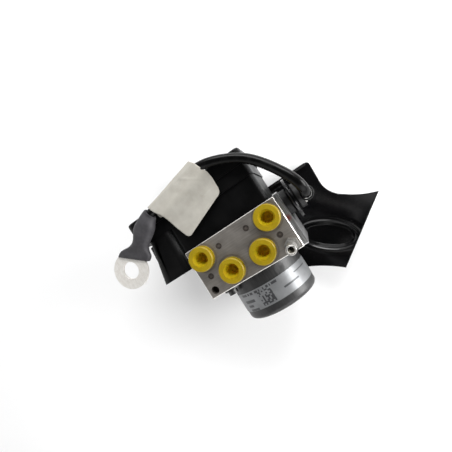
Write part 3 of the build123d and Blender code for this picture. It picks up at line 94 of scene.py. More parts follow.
# Node helpers
class Finish:
    """A material with a principled shader, built up step by step."""

    def __init__(self, name, colour, roughness, metallic=0.0):
        self.material = bpy.data.materials.new(name)
        self.material.use_nodes = True
        self.tree = self.material.node_tree
        self.shader = self.tree.nodes["Principled BSDF"]
        self.shader.inputs["Base Color"].default_value = (*colour, 1.0)
        self.shader.inputs["Roughness"].default_value = roughness
        self.shader.inputs["Metallic"].default_value = metallic
        self.place = self.node("ShaderNodeTexCoord").outputs["Object"]

    def node(self, kind, **settings):
        made = self.tree.nodes.new(kind)
        for key, value in settings.items():
            setattr(made, key, value)
        return made

    def link(self, source, target):
        self.tree.links.new(source, target)

    def moved(self, scale=(1, 1, 1), turn=(0, 0, 0)):
        """The place on the surface, scaled and turned by degrees, for a texture with a grain."""
        mapping = self.node("ShaderNodeMapping")
        mapping.inputs["Scale"].default_value = scale
        mapping.inputs["Rotation"].default_value = [math.radians(angle) for angle in turn]
        self.link(self.place, mapping.inputs["Vector"])
        return mapping.outputs["Vector"]

    def noise(self, size_mm, detail=3.0, roughness=0.55, place=None):
        made = self.node("ShaderNodeTexNoise")
        made.inputs["Scale"].default_value = 1000.0 / size_mm
        made.inputs["Detail"].default_value = detail
        made.inputs["Roughness"].default_value = roughness
        self.link(place or self.place, made.inputs["Vector"])
        return made.outputs["Fac"]

    def ramp(self, value, *stops):
        """A value turned into a colour or, where a stop holds one number, a level."""
        made = self.node("ShaderNodeValToRGB")
        line = made.color_ramp
        while len(line.elements) < len(stops):
            line.elements.new(0.5)
        for element, (at, shade) in zip(line.elements, stops):
            element.position = at
            colour = shade if isinstance(shade, tuple) else (shade, shade, shade)
            element.color = (*colour, 1.0)
        self.link(value, made.inputs["Fac"])
        return made.outputs["Color"]

    def math(self, what, first, second=0.5):
        made = self.node("ShaderNodeMath", operation=what)
        for port, value in zip(made.inputs, (first, second)):
            if isinstance(value, (int, float)):
                port.default_value = value
            else:
                self.link(value, port)
        return made.outputs["Value"]

    def mix(self, share, first, second):
        made = self.node("ShaderNodeMix", data_type="RGBA")
        for name, value in (("Factor", share), ("A", first), ("B", second)):
            port = [socket for socket in made.inputs if socket.name == name and socket.enabled][0]
            if isinstance(value, (int, float)):
                port.default_value = value
            elif isinstance(value, tuple):
                port.default_value = (*value, 1.0)
            else:
                self.link(value, port)
        return [socket for socket in made.outputs if socket.enabled][0]

    def colour(self, source):
        self.link(source, self.shader.inputs["Base Color"])

    def rough(self, source):
        self.link(source, self.shader.inputs["Roughness"])

    def bump(self, height, depth_mm, strength=1.0):
        made = self.node("ShaderNodeBump")
        made.inputs["Strength"].default_value = strength
        made.inputs["Distance"].default_value = depth_mm * MM
        self.link(height, made.inputs["Height"])
        if self.shader.inputs["Normal"].is_linked:
            before = self.shader.inputs["Normal"].links[0].from_socket
            self.link(before, made.inputs["Normal"])
        self.link(made.outputs["Normal"], self.shader.inputs["Normal"])
        return self

    def plain(self, **values):
        """Values that are the same all over the surface."""
        for name, value in values.items():
            self.shader.inputs[name.replace("_", " ")].default_value = value


def axis_of(finish, source=None):
    made = finish.node("ShaderNodeSeparateXYZ")
    finish.link(source or finish.place, made.inputs["Vector"])
    return made.outputs["X"], made.outputs["Y"], made.outputs["Z"]


def seen_from_above(finish):
    """The place on the surface with its height left out."""
    x, y, _ = axis_of(finish)
    made = finish.node("ShaderNodeCombineXYZ")
    finish.link(x, made.inputs["X"])
    finish.link(y, made.inputs["Y"])
    return made.outputs["Vector"]


def gap_to(finish, source, point):
    """Distance in metres from a place on the surface to a point that is given in millimetres."""
    made = finish.node("ShaderNodeVectorMath", operation="DISTANCE")
    finish.link(source, made.inputs[0])
    made.inputs[1].default_value = [MM * value for value in point]
    return made.outputs["Value"]


def gap_to_nearest(finish, source, points):
    gaps = [gap_to(finish, source, point) for point in points]
    found = gaps[0]
    for gap in gaps[1:]:
        found = finish.math("MINIMUM", found, gap)
    return found


def both(finish, first, second):
    return finish.math("MULTIPLY", first, second)


def inside(finish, value, low, high):
    return both(finish, finish.math("GREATER_THAN", value, low), finish.math("LESS_THAN", value, high))


def dust(finish, size_mm, start):
    """Sparse specks, where a fine noise is above its start."""
    return finish.ramp(finish.noise(size_mm, 5.0, 0.7), (start, 0.0), (start + 0.08, 1.0))


# Places on the block's port face
PORTS = [(27.6, 9.8, 0.0), (12.8, -8.3, 0.0), (-12.8, -8.3, 0.0), (-27.6, 9.8, 0.0)]
SEAL_PLUGS = [(11.0, 11.3, 0.0), (-12.6, 11.0, 0.0), (28.3, -4.7, 0.0), (-29.7, -4.5, 0.0)]
HOSE_STUB = (31.6, -14.7, 0.0)
STUB_BORE = 2.45
SPOT_RADIUS = 10.85
RING_PITCH = 0.45
PIP_RADIUS = 1.3


def milled_aluminium():
    """Cloudy milled metal with turned rings round the ports, a painted reflection of the yellow plugs on
    their spot faces, and broken edges painted bright as painted highlights.
    """
    made = Finish("milled_aluminium", (0.30, 0.28, 0.25), 0.5, 0.75)
    cloud = made.noise(9.0, 4.0)
    strokes = made.noise(0.9, 2.0, place=made.moved(scale=(0.05, 1.0, 1.0), turn=(0, 0, 8)))
    grain = made.noise(0.35, 2.0)
    away = gap_to_nearest(made, seen_from_above(made), PORTS)
    spot = made.math("LESS_THAN", away, MM * SPOT_RADIUS)
    turned = made.math("SINE", made.math("MULTIPLY", away, 2 * math.pi / (MM * RING_PITCH)))
    rings = both(made, spot, turned)
    tone = made.ramp(cloud, (0.3, (0.215, 0.198, 0.180)), (0.7, (0.285, 0.266, 0.243)))
    tone = made.mix(0.35, tone, made.ramp(strokes, (0.3, (0.18, 0.165, 0.150)), (0.7, (0.33, 0.31, 0.285))))
    # Spot faces round the ports painted a darker yellow-brown: a painted reflection of the yellow plugs.
    tone = made.mix(made.math("MULTIPLY", spot, 0.35), tone, (0.16, 0.135, 0.10))
    # Faces sloping between flat and upright, the chamfers, are painted near white: a painted highlight.
    _, _, upward = axis_of(made, made.node("ShaderNodeNewGeometry").outputs["True Normal"])
    chamfer_painted_highlight = inside(made, made.math("ABSOLUTE", upward), 0.5, 0.9)
    made.colour(made.mix(chamfer_painted_highlight, tone, (0.80, 0.78, 0.75)))
    made.rough(made.ramp(cloud, (0.25, 0.42), (0.75, 0.58)))
    made.bump(strokes, 0.02, 0.5).bump(grain, 0.01, 0.4).bump(rings, 0.02, 0.5)
    return made.material


def bright_steel(name, tone, roughness, stretch=(1.0, 1.0, 0.08)):
    made = Finish(name, tone, roughness, 1.0)
    streaks = made.noise(0.8, 3.0, place=made.moved(scale=stretch))
    cloud = made.noise(7.0, 4.0)
    darker = tuple(0.62 * part for part in tone)
    lighter = tuple(min(1.0, 1.15 * part) for part in tone)
    pale = made.ramp(streaks, (0.3, darker), (0.7, lighter))
    made.colour(made.mix(0.5, pale, made.ramp(cloud, (0.3, darker), (0.65, lighter))))
    made.rough(made.ramp(streaks, (0.3, max(0.08, roughness - 0.1)), (0.7, roughness + 0.12)))
    made.bump(streaks, 0.01, 0.4)
    return made.material


SMUDGE = (38.9, 2.0, -0.5)


def streaked_plate():
    """Drawn plate metal with a red smudge on its upper edge."""
    made = Finish("streaked_plate", (0.5, 0.5, 0.5), 0.3, 1.0)
    streaks = made.noise(0.55, 3.0, place=made.moved(scale=(1.0, 0.05, 1.0)))
    cloud = made.noise(6.0, 4.0)
    tone = made.ramp(streaks, (0.35, (0.32, 0.32, 0.325)), (0.5, 0.54), (0.62, 0.74))
    tone = made.mix(0.3, tone, made.ramp(cloud, (0.3, 0.2), (0.65, 0.7)))
    ragged = made.math("MULTIPLY", cloud, 1.6 * MM)
    away = made.math("ADD", gap_to(made, made.place, SMUDGE), ragged)
    paint = made.ramp(away, (2.1 * MM, 1.0), (2.7 * MM, 0.0))
    made.colour(made.mix(paint, tone, (0.55, 0.035, 0.012)))
    made.rough(made.ramp(streaks, (0.3, 0.28), (0.7, 0.46)))
    made.bump(streaks, 0.02, 0.4)
    return made.material


def hollow_fitting():
    """Plated hose stub, whose bore is painted pale and less metallic as painted light, so that it doesn't
    turn black.
    """
    made = Finish("hollow_fitting", (0.52, 0.51, 0.49), 0.34, 0.9)
    cloud = made.noise(2.0, 4.0)
    turned = made.noise(0.5, 2.0, place=made.moved(scale=(0.2, 0.2, 1.0)))
    bore = made.math("LESS_THAN", gap_to(made, seen_from_above(made), HOSE_STUB), STUB_BORE * MM)
    tone = made.ramp(cloud, (0.3, (0.36, 0.35, 0.33)), (0.7, (0.62, 0.61, 0.585)))
    # Inside the bore the colour is near white: painted light that stands in for a lit hole.
    made.colour(made.mix(bore, tone, (0.93, 0.91, 0.86)))
    metal = made.math("SUBTRACT", 0.9, made.math("MULTIPLY", bore, 0.7))
    made.link(metal, made.shader.inputs["Metallic"])
    made.rough(made.ramp(turned, (0.3, 0.26), (0.7, 0.45)))
    made.bump(turned, 0.02, 0.4)
    return made.material


def pressed_plugs():
    """Dull plugs, dark round a lighter middle: partly their own dark ring and partly painted shade in the
    groove.
    """
    made = Finish("pressed_plugs", (0.12, 0.10, 0.085), 0.5, 0.6)
    cloud = made.noise(1.2, 4.0)
    away = gap_to_nearest(made, seen_from_above(made), SEAL_PLUGS)
    tone = made.ramp(cloud, (0.3, (0.10, 0.085, 0.075)), (0.7, (0.22, 0.19, 0.165)))
    # Painted dark beyond the middle, which is partly painted shade in the plugs' grooves.
    rim = made.ramp(away, (0.8 * MM, 0.0), (1.2 * MM, 1.0))
    made.colour(made.mix(rim, tone, (0.014, 0.012, 0.011)))
    made.rough(made.ramp(cloud, (0.3, 0.35), (0.7, 0.6)))
    made.bump(cloud, 0.05, 0.5)
    return made.material


def yellow_plastic():
    """Yellow moulding with painted light inside the cups, lighter towards their floors."""
    made = Finish("yellow_plastic", (0.29, 0.20, 0.002), 0.42)
    cloud = made.noise(5.0, 3.0)
    grain = made.noise(0.5, 2.0)
    _, _, height = axis_of(made)
    away = gap_to_nearest(made, seen_from_above(made), PORTS)
    lift = 10.0 * MM
    # Painted light: inside the cups, away from the middle pip, the yellow is lighter the deeper it lies.
    deep = made.ramp(made.math("ADD", height, lift), (lift - 3.5 * MM, 1.0), (lift + 5.0 * MM, 0.0))
    painted_cup_light = both(made, made.ramp(away, (5.2 * MM, 1.0), (5.7 * MM, 0.0)), deep)
    pip = made.math("LESS_THAN", away, PIP_RADIUS * MM)
    pale = made.math("SUBTRACT", painted_cup_light, made.math("MULTIPLY", pip, 0.3))
    tone = made.ramp(cloud, (0.3, (0.25, 0.175, 0.0015)), (0.7, (0.30, 0.212, 0.003)))
    made.colour(made.mix(pale, tone, (0.95, 0.74, 0.02)))
    made.rough(made.ramp(grain, (0.3, 0.36), (0.7, 0.5)))
    made.bump(grain, 0.01, 0.35)
    made.plain(Subsurface_Weight=0.08, Subsurface_Scale=0.0015, Specular_IOR_Level=0.35)
    return made.material


DENTS = [(-13.6, -25.4, -4.9), (15.0, -24.7, -5.7), (1.1, -49.7, -1.5)]


def dark_steel():
    """Drawn motor can with a few punched dents, bumped in and darkened with painted shade."""
    made = Finish("dark_motor_steel", (0.03, 0.03, 0.03), 0.36, 0.35)
    cloud = made.noise(12.0, 4.0)
    drawn = made.noise(0.7, 3.0, place=made.moved(scale=(1.0, 0.06, 1.0)))
    fine = made.noise(0.4, 2.0)
    away = gap_to_nearest(made, made.place, DENTS)
    dent_with_painted_shade = made.ramp(away, (0.7 * MM, 1.0), (1.6 * MM, 0.0))
    tone = made.ramp(cloud, (0.3, 0.016), (0.7, 0.034))
    tone = made.mix(0.45, tone, made.ramp(drawn, (0.3, 0.014), (0.7, 0.045)))
    # The dents are darkened in colour: painted shade.
    made.colour(made.mix(made.math("MULTIPLY", dent_with_painted_shade, 0.8), tone, (0.01, 0.01, 0.01)))
    made.rough(made.ramp(drawn, (0.25, 0.33), (0.75, 0.5)))
    made.bump(fine, 0.01, 0.4).bump(made.math("SUBTRACT", 1.0, dent_with_painted_shade), 0.3, 0.8)
    return made.material


DUST_TONE = (0.22, 0.21, 0.20)


def inner_plastic():
    made = Finish("inner_plastic", (0.04, 0.04, 0.044), 0.5)
    cloud = made.noise(14.0, 4.0)
    grain = made.noise(0.35, 2.0)
    base = made.ramp(cloud, (0.3, (0.03, 0.03, 0.032)), (0.7, (0.054, 0.054, 0.058)))
    made.colour(made.mix(made.math("MULTIPLY", dust(made, 0.9, 0.66), 0.06), base, DUST_TONE))
    made.rough(made.ramp(cloud, (0.3, 0.44), (0.7, 0.58)))
    made.bump(grain, 0.02, 0.5)
    made.plain(Specular_IOR_Level=0.3)
    return made.material


def control_plastic():
    """Deep black moulding, with the side that faces the cable bolt painted a mottled grey as a painted
    reflection.
    """
    tone = 0.0017
    made = Finish("control_unit_plastic", (tone, tone, tone), 0.42)
    cloud = made.noise(14.0, 4.0)
    grain = made.noise(0.35, 2.0)
    side_reflection_mottle = made.noise(3.0, 5.0, 0.6)
    darker = (0.7 * tone, 0.7 * tone, 0.75 * tone)
    lighter = (1.4 * tone, 1.4 * tone, 1.5 * tone)
    base = made.ramp(cloud, (0.3, darker), (0.7, lighter))
    # The side that faces +X is painted lighter: a painted reflection of the light on that side.
    outward, _, _ = axis_of(made, made.node("ShaderNodeNewGeometry").outputs["Normal"])
    painted_side_reflection = made.math("GREATER_THAN", outward, 0.8)
    grey = made.ramp(side_reflection_mottle, (0.35, (0.013, 0.0135, 0.014)), (0.65, (0.024, 0.0245, 0.025)))
    base = made.mix(painted_side_reflection, base, grey)
    made.colour(made.mix(made.math("MULTIPLY", dust(made, 0.9, 0.67), 0.06), base, DUST_TONE))
    made.rough(made.ramp(cloud, (0.3, 0.36), (0.7, 0.5)))
    made.bump(grain, 0.02, 0.5)
    made.plain(Specular_IOR_Level=0.14)
    return made.material


# Oval recess of the bracket's wing
RECESS = (54.0, -29.4, 0.0)
RECESS_LONG = (0.848, -0.530, 0.0)
RECESS_SHORT = (0.530, 0.848, 0.0)
RECESS_HALF = (21.0, 10.5)
RECESS_BLEND = 4.5
WING_OUT = (0.606, -0.795, 0.0)


def oval_share(finish, spread):
    """Share of the way from the recess's middle to its rim, widened by a spread."""
    away = finish.node("ShaderNodeVectorMath", operation="SUBTRACT")
    finish.link(finish.place, away.inputs[0])
    away.inputs[1].default_value = [MM * value for value in RECESS]
    pair = finish.node("ShaderNodeCombineXYZ")
    for name, axis, half in (("X", RECESS_LONG, RECESS_HALF[0]), ("Y", RECESS_SHORT, RECESS_HALF[1])):
        reach = finish.node("ShaderNodeVectorMath", operation="DOT_PRODUCT")
        finish.link(away.outputs["Vector"], reach.inputs[0])
        reach.inputs[1].default_value = axis
        finish.link(finish.math("DIVIDE", reach.outputs["Value"], MM * (half + spread)), pair.inputs[name])
    size = finish.node("ShaderNodeVectorMath", operation="LENGTH")
    finish.link(pair.outputs["Vector"], size.inputs[0])
    return size.outputs["Value"]


def dish_height(finish, rim, outer):
    """Height of a pressed dish, from -1 inside the rim to 0 at the outer oval."""
    past_rim = finish.math("MAXIMUM", finish.math("SUBTRACT", rim, 1.0), 0.0)
    to_outer = finish.math("MAXIMUM", finish.math("SUBTRACT", 1.0, outer), 0.0)
    whole = finish.math("ADD", finish.math("ADD", past_rim, to_outer), 0.0001)
    share = finish.math("DIVIDE", to_outer, whole)
    return finish.math("MULTIPLY", both(finish, share, share), -1.0)


def recess_normal(finish, rim):
    """Normal with rounded edges, that leans outwards on the recess's floor so that it mirrors less."""
    rounded = finish.node("ShaderNodeBevel", samples=8)
    rounded.inputs["Radius"].default_value = 1.2 * MM
    leaning = finish.node("ShaderNodeVectorMath", operation="ADD")
    finish.link(rounded.outputs["Normal"], leaning.inputs[0])
    leaning.inputs[1].default_value = [0.3 * value for value in WING_OUT]
    chosen = finish.node("ShaderNodeMix", data_type="VECTOR")
    on_floor = finish.ramp(finish.math("MULTIPLY", rim, 0.5), (0.58, 1.0), (0.8, 0.0))
    for port, source in ((0, on_floor), (4, rounded.outputs["Normal"]), (5, leaning.outputs["Vector"])):
        finish.link(source, chosen.inputs[port])
    return chosen.outputs[1]


def glossy_black():
    """Black paint, with the pressed recess drawn softer than its solid."""
    made = Finish("glossy_black_paint", (0.003, 0.003, 0.0034), 0.2)
    rim = oval_share(made, 0.0)
    dish = dish_height(made, rim, oval_share(made, RECESS_BLEND))
    made.link(recess_normal(made, rim), made.shader.inputs["Normal"])
    cloud = made.noise(20.0, 3.0)
    peel = made.noise(2.2, 2.0)
    specks = made.math("MULTIPLY", dust(made, 0.8, 0.68), 0.04)
    made.colour(made.mix(specks, (0.0024, 0.0024, 0.0027), (0.2, 0.2, 0.2)))
    made.rough(made.ramp(cloud, (0.3, 0.13), (0.7, 0.2)))
    made.plain(Specular_IOR_Level=0.42)
    made.bump(dish, 1.7).bump(peel, 0.02, 0.25)
    return made.material


def rubber(name, tone, roughness, gloss=0.35):
    made = Finish(name, (tone, tone, tone), roughness)
    cloud = made.noise(6.0, 4.0)
    grain = made.noise(0.3, 2.0)
    made.colour(made.ramp(cloud, (0.3, tone * 0.7), (0.7, tone * 1.5)))
    made.rough(made.ramp(cloud, (0.3, roughness - 0.06), (0.7, roughness + 0.1)))
    made.bump(grain, 0.015, 0.4)
    made.plain(Specular_IOR_Level=gloss)
    return made.material


def shrunk_sleeve():
    made = Finish("shrunk_sleeve", (0.055, 0.053, 0.057), 0.5)
    cloud = made.noise(5.0, 4.0)
    wrinkles = made.noise(1.8, 3.0, place=made.moved(scale=(1.0, 0.35, 1.0), turn=(0, 0, -30)))
    made.colour(made.ramp(cloud, (0.3, (0.028, 0.027, 0.030)), (0.7, (0.048, 0.046, 0.050))))
    made.rough(made.ramp(wrinkles, (0.3, 0.5), (0.7, 0.68)))
    made.bump(wrinkles, 0.12, 0.5)
    made.plain(Specular_IOR_Level=0.3)
    return made.material


WEAVE_ANGLE = -12.2
WEAVE_SCALE = 900.0


def label_cloth():
    """Stained cloth with a woven texture along the label's fold."""
    made = Finish("label_cloth", (0.38, 0.365, 0.325), 0.85)
    cloud = made.noise(16.0, 4.0)
    smudge = made.noise(6.0, 5.0)
    turned = made.moved(turn=(0, 0, WEAVE_ANGLE))
    threads = []
    for direction in "XY":
        thread = made.node("ShaderNodeTexWave", bands_direction=direction)
        thread.inputs["Scale"].default_value = WEAVE_SCALE
        made.link(turned, thread.inputs["Vector"])
        threads.append(thread.outputs["Fac"])
    weave = both(made, *threads)
    tone = made.ramp(cloud, (0.3, (0.35, 0.333, 0.294)), (0.7, (0.42, 0.405, 0.365)))
    stained = made.ramp(smudge, (0.35, (0.33, 0.314, 0.278)), (0.65, (0.43, 0.416, 0.376)))
    made.colour(made.mix(0.4, tone, stained))
    made.rough(made.ramp(smudge, (0.3, 0.75), (0.7, 0.95)))
    made.bump(weave, 0.03, 0.4).bump(smudge, 0.25, 0.35)
    made.plain(Specular_IOR_Level=0.2)
    return made.material


def tinned_copper():
    made = Finish("tinned_copper", (0.60, 0.58, 0.54), 0.4, 0.45)
    cloud = made.noise(3.5, 5.0, 0.65)
    scratches = made.noise(0.5, 3.0, place=made.moved(scale=(1.0, 0.1, 1.0), turn=(0, 0, 40)))
    tone = made.ramp(cloud, (0.3, (0.60, 0.565, 0.515)), (0.7, (0.84, 0.82, 0.79)))
    scored = made.ramp(scratches, (0.3, (0.62, 0.59, 0.54)), (0.7, (0.84, 0.83, 0.80)))
    made.colour(made.mix(0.4, tone, scored))
    made.rough(made.ramp(cloud, (0.3, 0.5), (0.7, 0.3)))
    made.bump(cloud, 0.08, 0.4).bump(scratches, 0.01, 0.4)
    return made.material


# Print on the motor's film: centre round the can, centre along it, width and height
MOTOR_AXIS_DEPTH = 30.4
FILM_RADIUS = 29.2
CODE_PATCH = (-2.8, -36.75, 10.8, 10.8)
CODE_CELL = 1.2
TICK_PATCH = (-7.7, -30.3, 33.0, 1.8)
TICK_CELL = 0.9
FILM_BARS = [
    (-18.4, -35.6, 10.5, 2.2), (-20.2, -39.2, 6.0, 1.8), (-18.0, -42.4, 9.5, 1.8),
    (18.1, -37.3, 14.0, 1.3), (30.6, -32.8, 15.0, 0.9),
]


def printed_film():
    """Silver film with a square of random cells, a row of ticks and plain bars."""
    made = Finish("printed_film", (0.22, 0.225, 0.23), 0.36, 0.35)
    cloud = made.noise(10.0, 3.0)
    grain = made.noise(0.6, 2.0)
    x, y, z = axis_of(made)
    turn = made.math("ARCTAN2", x, made.math("ADD", z, MM * MOTOR_AXIS_DEPTH))
    round_can = made.math("MULTIPLY", turn, FILM_RADIUS)
    along_can = made.math("MULTIPLY", y, 1.0 / MM)

    def patch(centre, level, width, height):
        across = inside(made, round_can, centre - width / 2, centre + width / 2)
        return both(made, across, inside(made, along_can, level - height / 2, level + height / 2))

    def random_cells(step, places):
        """Cells that are inked or bare, counted round the can and perhaps along it."""
        spot = made.node("ShaderNodeCombineXYZ")
        for name, place in zip("XY", places):
            made.link(made.math("FLOOR", made.math("DIVIDE", place, step)), spot.inputs[name])
        white = made.node("ShaderNodeTexWhiteNoise", noise_dimensions="3D")
        made.link(spot.outputs["Vector"], white.inputs["Vector"])
        return made.math("GREATER_THAN", white.outputs["Value"], 0.4)

    inked = both(made, patch(*CODE_PATCH), random_cells(CODE_CELL, (round_can, along_can)))
    ticks = both(made, patch(*TICK_PATCH), random_cells(TICK_CELL, (round_can,)))
    for mark in (ticks, *[patch(*bar) for bar in FILM_BARS]):
        inked = made.math("MAXIMUM", inked, mark)
    tone = made.ramp(cloud, (0.3, (0.15, 0.154, 0.158)), (0.7, (0.205, 0.21, 0.215)))
    made.colour(made.mix(made.math("MULTIPLY", inked, 0.82), tone, (0.018, 0.018, 0.02)))
    made.rough(made.ramp(grain, (0.3, 0.3), (0.7, 0.44)))
    made.bump(grain, 0.01, 0.3)
    return made.material


def simple(name, tone, roughness, metallic):
    """A lightly clouded finish for inner parts."""
    made = Finish(name, tone, roughness, metallic)
    cloud = made.noise(2.5, 3.0)
    darker = tuple(0.75 * part for part in tone)
    lighter = tuple(min(1.0, 1.2 * part) for part in tone)
    made.colour(made.ramp(cloud, (0.3, darker), (0.7, lighter)))
    made.rough(made.ramp(cloud, (0.3, max(0.1, roughness - 0.08)), (0.7, roughness + 0.08)))
    made.bump(cloud, 0.02, 0.3)
    return made.material


finishes = {
    "block_aluminium": milled_aluminium(),
    "plug_yellow": yellow_plastic(),
    "zinc_steel": bright_steel("zinc_plated_steel", (0.52, 0.52, 0.51), 0.32),
    "bearing_steel": bright_steel("ground_steel", (0.42, 0.42, 0.43), 0.28, (1.0, 0.1, 1.0)),
    "spring_steel": simple("spring_steel", (0.28, 0.28, 0.29), 0.35, 1.0),
    "motor_steel": dark_steel(),
    "label_film": printed_film(),
    "magnet": simple("sintered_magnet", (0.03, 0.03, 0.032), 0.6, 0.0),
    "carbon": simple("pressed_carbon", (0.02, 0.02, 0.02), 0.7, 0.0),
    "core_steel": simple("core_steel", (0.2, 0.2, 0.21), 0.45, 0.9),
    "copper": simple("turned_copper", (0.62, 0.30, 0.16), 0.3, 1.0),
    "inner_plastic": inner_plastic(),
    "ecu_plastic": control_plastic(),
    "board_laminate": simple("board_laminate", (0.02, 0.12, 0.04), 0.4, 0.0),
    "black_rubber": rubber("black_rubber", 0.008, 0.5),
    "cable_rubber": rubber("cable_rubber", 0.0022, 0.22, 0.14),
    "sleeve_plastic": shrunk_sleeve(),
    "tinned_copper": tinned_copper(),
    "label_cloth": label_cloth(),
    "black_sheet": glossy_black(),
}
own_finishes = {
    "side_plate": streaked_plate(),
    "sealing_plugs": pressed_plugs(),
    "return_fitting": hollow_fitting(),
    "motor_screws": bright_steel("blackened_steel", (0.09, 0.09, 0.088), 0.45),
}
for name, thing in nodes.items():
    thing.data.materials.clear()
    thing.data.materials.append(own_finishes.get(name, finishes[slot_of[name]]))


# Earth cable
ROUTE = [
    (57.3, 9.6, -3.4), (57.3, 9.6, 2.0), (57.4, 12.4, 6.4), (57.0, 17.4, 9.2),
    (54.3, 24.6, 9.0), (49.9, 33.0, 7.2), (44.6, 41.5, 5.4), (38.8, 48.7, 4.0),
    (32.4, 54.1, 3.2), (24.7, 58.8, 2.8), (16.8, 62.3, 2.8), (9.4, 64.5, 2.8),
    (0.4, 65.0, 2.8), (-11.0, 63.5, 2.8), (-23.4, 61.7, 2.8), (-34.4, 60.3, 2.8),
    (-42.8, 57.8, 2.8),
]
CABLE_RADIUS = 3.5
cable_data = bpy.data.curves.new("cable", "CURVE")
cable_data.dimensions = "3D"
cable_data.bevel_depth = CABLE_RADIUS * MM
cable_data.bevel_resolution = 8
cable_data.resolution_u = 10
cable_data.use_fill_caps = True
spline = cable_data.splines.new("NURBS")
spline.points.add(len(ROUTE) - 1)
for point, place in zip(spline.points, ROUTE):
    point.co = (*[MM * value for value in place], 1.0)
spline.order_u = 3
spline.use_endpoint_u = True
cable = add_object("cable", cable_data)
cable_data.materials.append(finishes["cable_rubber"])
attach(cable, "unit")
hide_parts("earth_cable")


def add_mesh(name, points, faces, material, smooth=True):
    data = bpy.data.meshes.new(name)
    data.from_pydata([[MM * value for value in point] for point in points], [], faces)
    data.polygons.foreach_set("use_smooth", [smooth] * len(data.polygons))
    data.materials.append(material)
    data.update()
    return add_object(name, data)


# Cloth label folded round the cable, in distances along its fold and across from it
FOLD_NEAR = (-41.0, 63.4)
FOLD_ALONG = (0.9772, 0.2121)
FOLD_ACROSS = (0.2121, -0.9772)

# Ends of the two layers along the fold, by their distance across from it
UPPER_NEAR = [(0.0, -0.6), (2.5, 0.6), (11.2, 1.7), (24.4, 2.6), (34.4, 4.2), (40.0, 5.0)]
UPPER_FAR = [(0.0, 44.2), (6.8, 47.6), (15.2, 48.6), (20.4, 47.9), (25.9, 46.3), (31.0, 45.3), (40.0, 43.0)]
LOWER_NEAR = [(0.0, -0.6), (9.0, -1.3), (11.0, -1.1), (14.0, 3.6), (40.0, 6.4)]
LOWER_FAR = [(0.0, 44.2), (20.0, 46.4), (40.0, 42.0)]

# Free edge
EDGE_LENGTH = 41.0
EDGE_REACH = 37.9
EDGE_SLANT = 0.155
EDGE_CORNER = 3.4

# Creases with their two ends, width and height, and waves with their height, rates and start
CREASES = [
    ((32.9, 6.6), (43.6, 17.0), 0.8, 0.55), ((34.0, 8.2), (44.6, 18.6), 1.3, -0.3),
    ((35.0, 7.6), (41.0, 8.6), 1.0, -0.2), ((32.9, 6.4), (27.7, 5.9), 0.9, -0.3),
    ((33.8, 24.0), (42.0, 25.4), 0.7, 0.35), ((8.0, 14.0), (22.0, 20.0), 2.2, 0.4),
]
WAVES = [(0.28, 0.11, 0.16, 0.6), (0.12, 0.37, -0.21, 0.0)]

# The cable's place across from the fold at the near end, its shift to the far end, and the cloth over it
CABLE_ACROSS = 4.4
CABLE_SHIFT = 3.4
TUNNEL_TOP = 7.0
TUNNEL_RISE = 0.15

# Where the cloth lies flat
UPPER_LEVEL = -0.95
UPPER_LOWEST = -1.2
LOWER_LEVEL = -1.5
FLAT_FROM = 6.0
FLAT_OVER = 8.0
CLOTH = 0.3

# Steps of the mesh, across each layer and along the fold
ACROSS, ALONG = 84, 60


def table_value(table, value):
    for (low, first), (high, second) in zip(table, table[1:]):
        if value <= high:
            return first + (second - first) * (value - low) / (high - low)
    return table[-1][1]


def smooth_curve(points, count):
    """Points on a quadratic B-spline from the first control point to the last one."""
    ends = [points[0], *points, points[-1]]
    spans = len(ends) - 2
    curve = []
    for step in range(count + 1):
        at = min(step / count * spans, spans - 1e-9)
        t = at - int(at)
        weights = (0.5 * (1 - t) ** 2, 0.5 + t * (1 - t), 0.5 * t * t)
        trio = ends[int(at):int(at) + 3]
        curve.append([sum(weight * point[axis] for weight, point in zip(weights, trio)) for axis in (0, 1)])
    return curve


def soft_line(points, count):
    """A smooth line drawn by its control points, with its points at even distances."""
    dense = smooth_curve(points, 8 * count)
    far = [0.0]
    for first, second in zip(dense, dense[1:]):
        far.append(far[-1] + math.dist(first, second))
    made = []
    at = 0
    for step in range(count + 1):
        want = far[-1] * step / count
        while at < len(dense) - 2 and far[at + 1] < want:
            at += 1
        share = (want - far[at]) / max(far[at + 1] - far[at], 1e-9)
        made.append([a + share * (b - a) for a, b in zip(dense[at], dense[at + 1])])
    return made


def free_edge(share):
    """Distance from the fold to the free edge, with a rounded corner at each end."""
    along = EDGE_LENGTH * share
    reach = EDGE_REACH - EDGE_SLANT * along
    corner = min(along, EDGE_LENGTH - along)
    if corner < EDGE_CORNER:
        reach -= EDGE_CORNER - math.sqrt(EDGE_CORNER ** 2 - (EDGE_CORNER - corner) ** 2)
    return reach


def crease_height(along, across):
    total = 0.0
    for (a, b), (c, d), width, depth in CREASES:
        run = (c - a) ** 2 + (d - b) ** 2
        share = limited(((along - a) * (c - a) + (across - b) * (d - b)) / run)
        gap = math.dist((along, across), (a + share * (c - a), b + share * (d - b)))
        fade = math.sin(math.pi * (0.15 + 0.7 * share))
        total += depth * fade * math.exp(-((gap / width) ** 2))
    return total


def layer_lines(share):
    """Control points of the upper layer, over the cable, and of the lower layer, under it."""
    centre = CABLE_ACROSS + CABLE_SHIFT * share
    top = TUNNEL_TOP + TUNNEL_RISE * share
    reach = free_edge(share)
    upper = [
        (0.0, 0.1), (0.35, 2.2), (centre - 3.5, 5.2), (centre - 1.6, top), (centre + 1.7, top),
        (centre + 4.0, 5.1), (centre + 6.0, 2.3), (centre + 8.8, 0.2), (centre + 13.0, -0.9),
    ]
    start = upper[-1][0]
    upper += [(start + step / 4 * (reach - start), UPPER_LEVEL) for step in range(1, 5)]
    lower = [(0.0, 0.1), (0.15, -1.2), (1.6, LOWER_LEVEL)]
    lower += [(1.6 + step / 3 * (reach - 2.2), LOWER_LEVEL) for step in range(1, 4)]
    return upper, lower


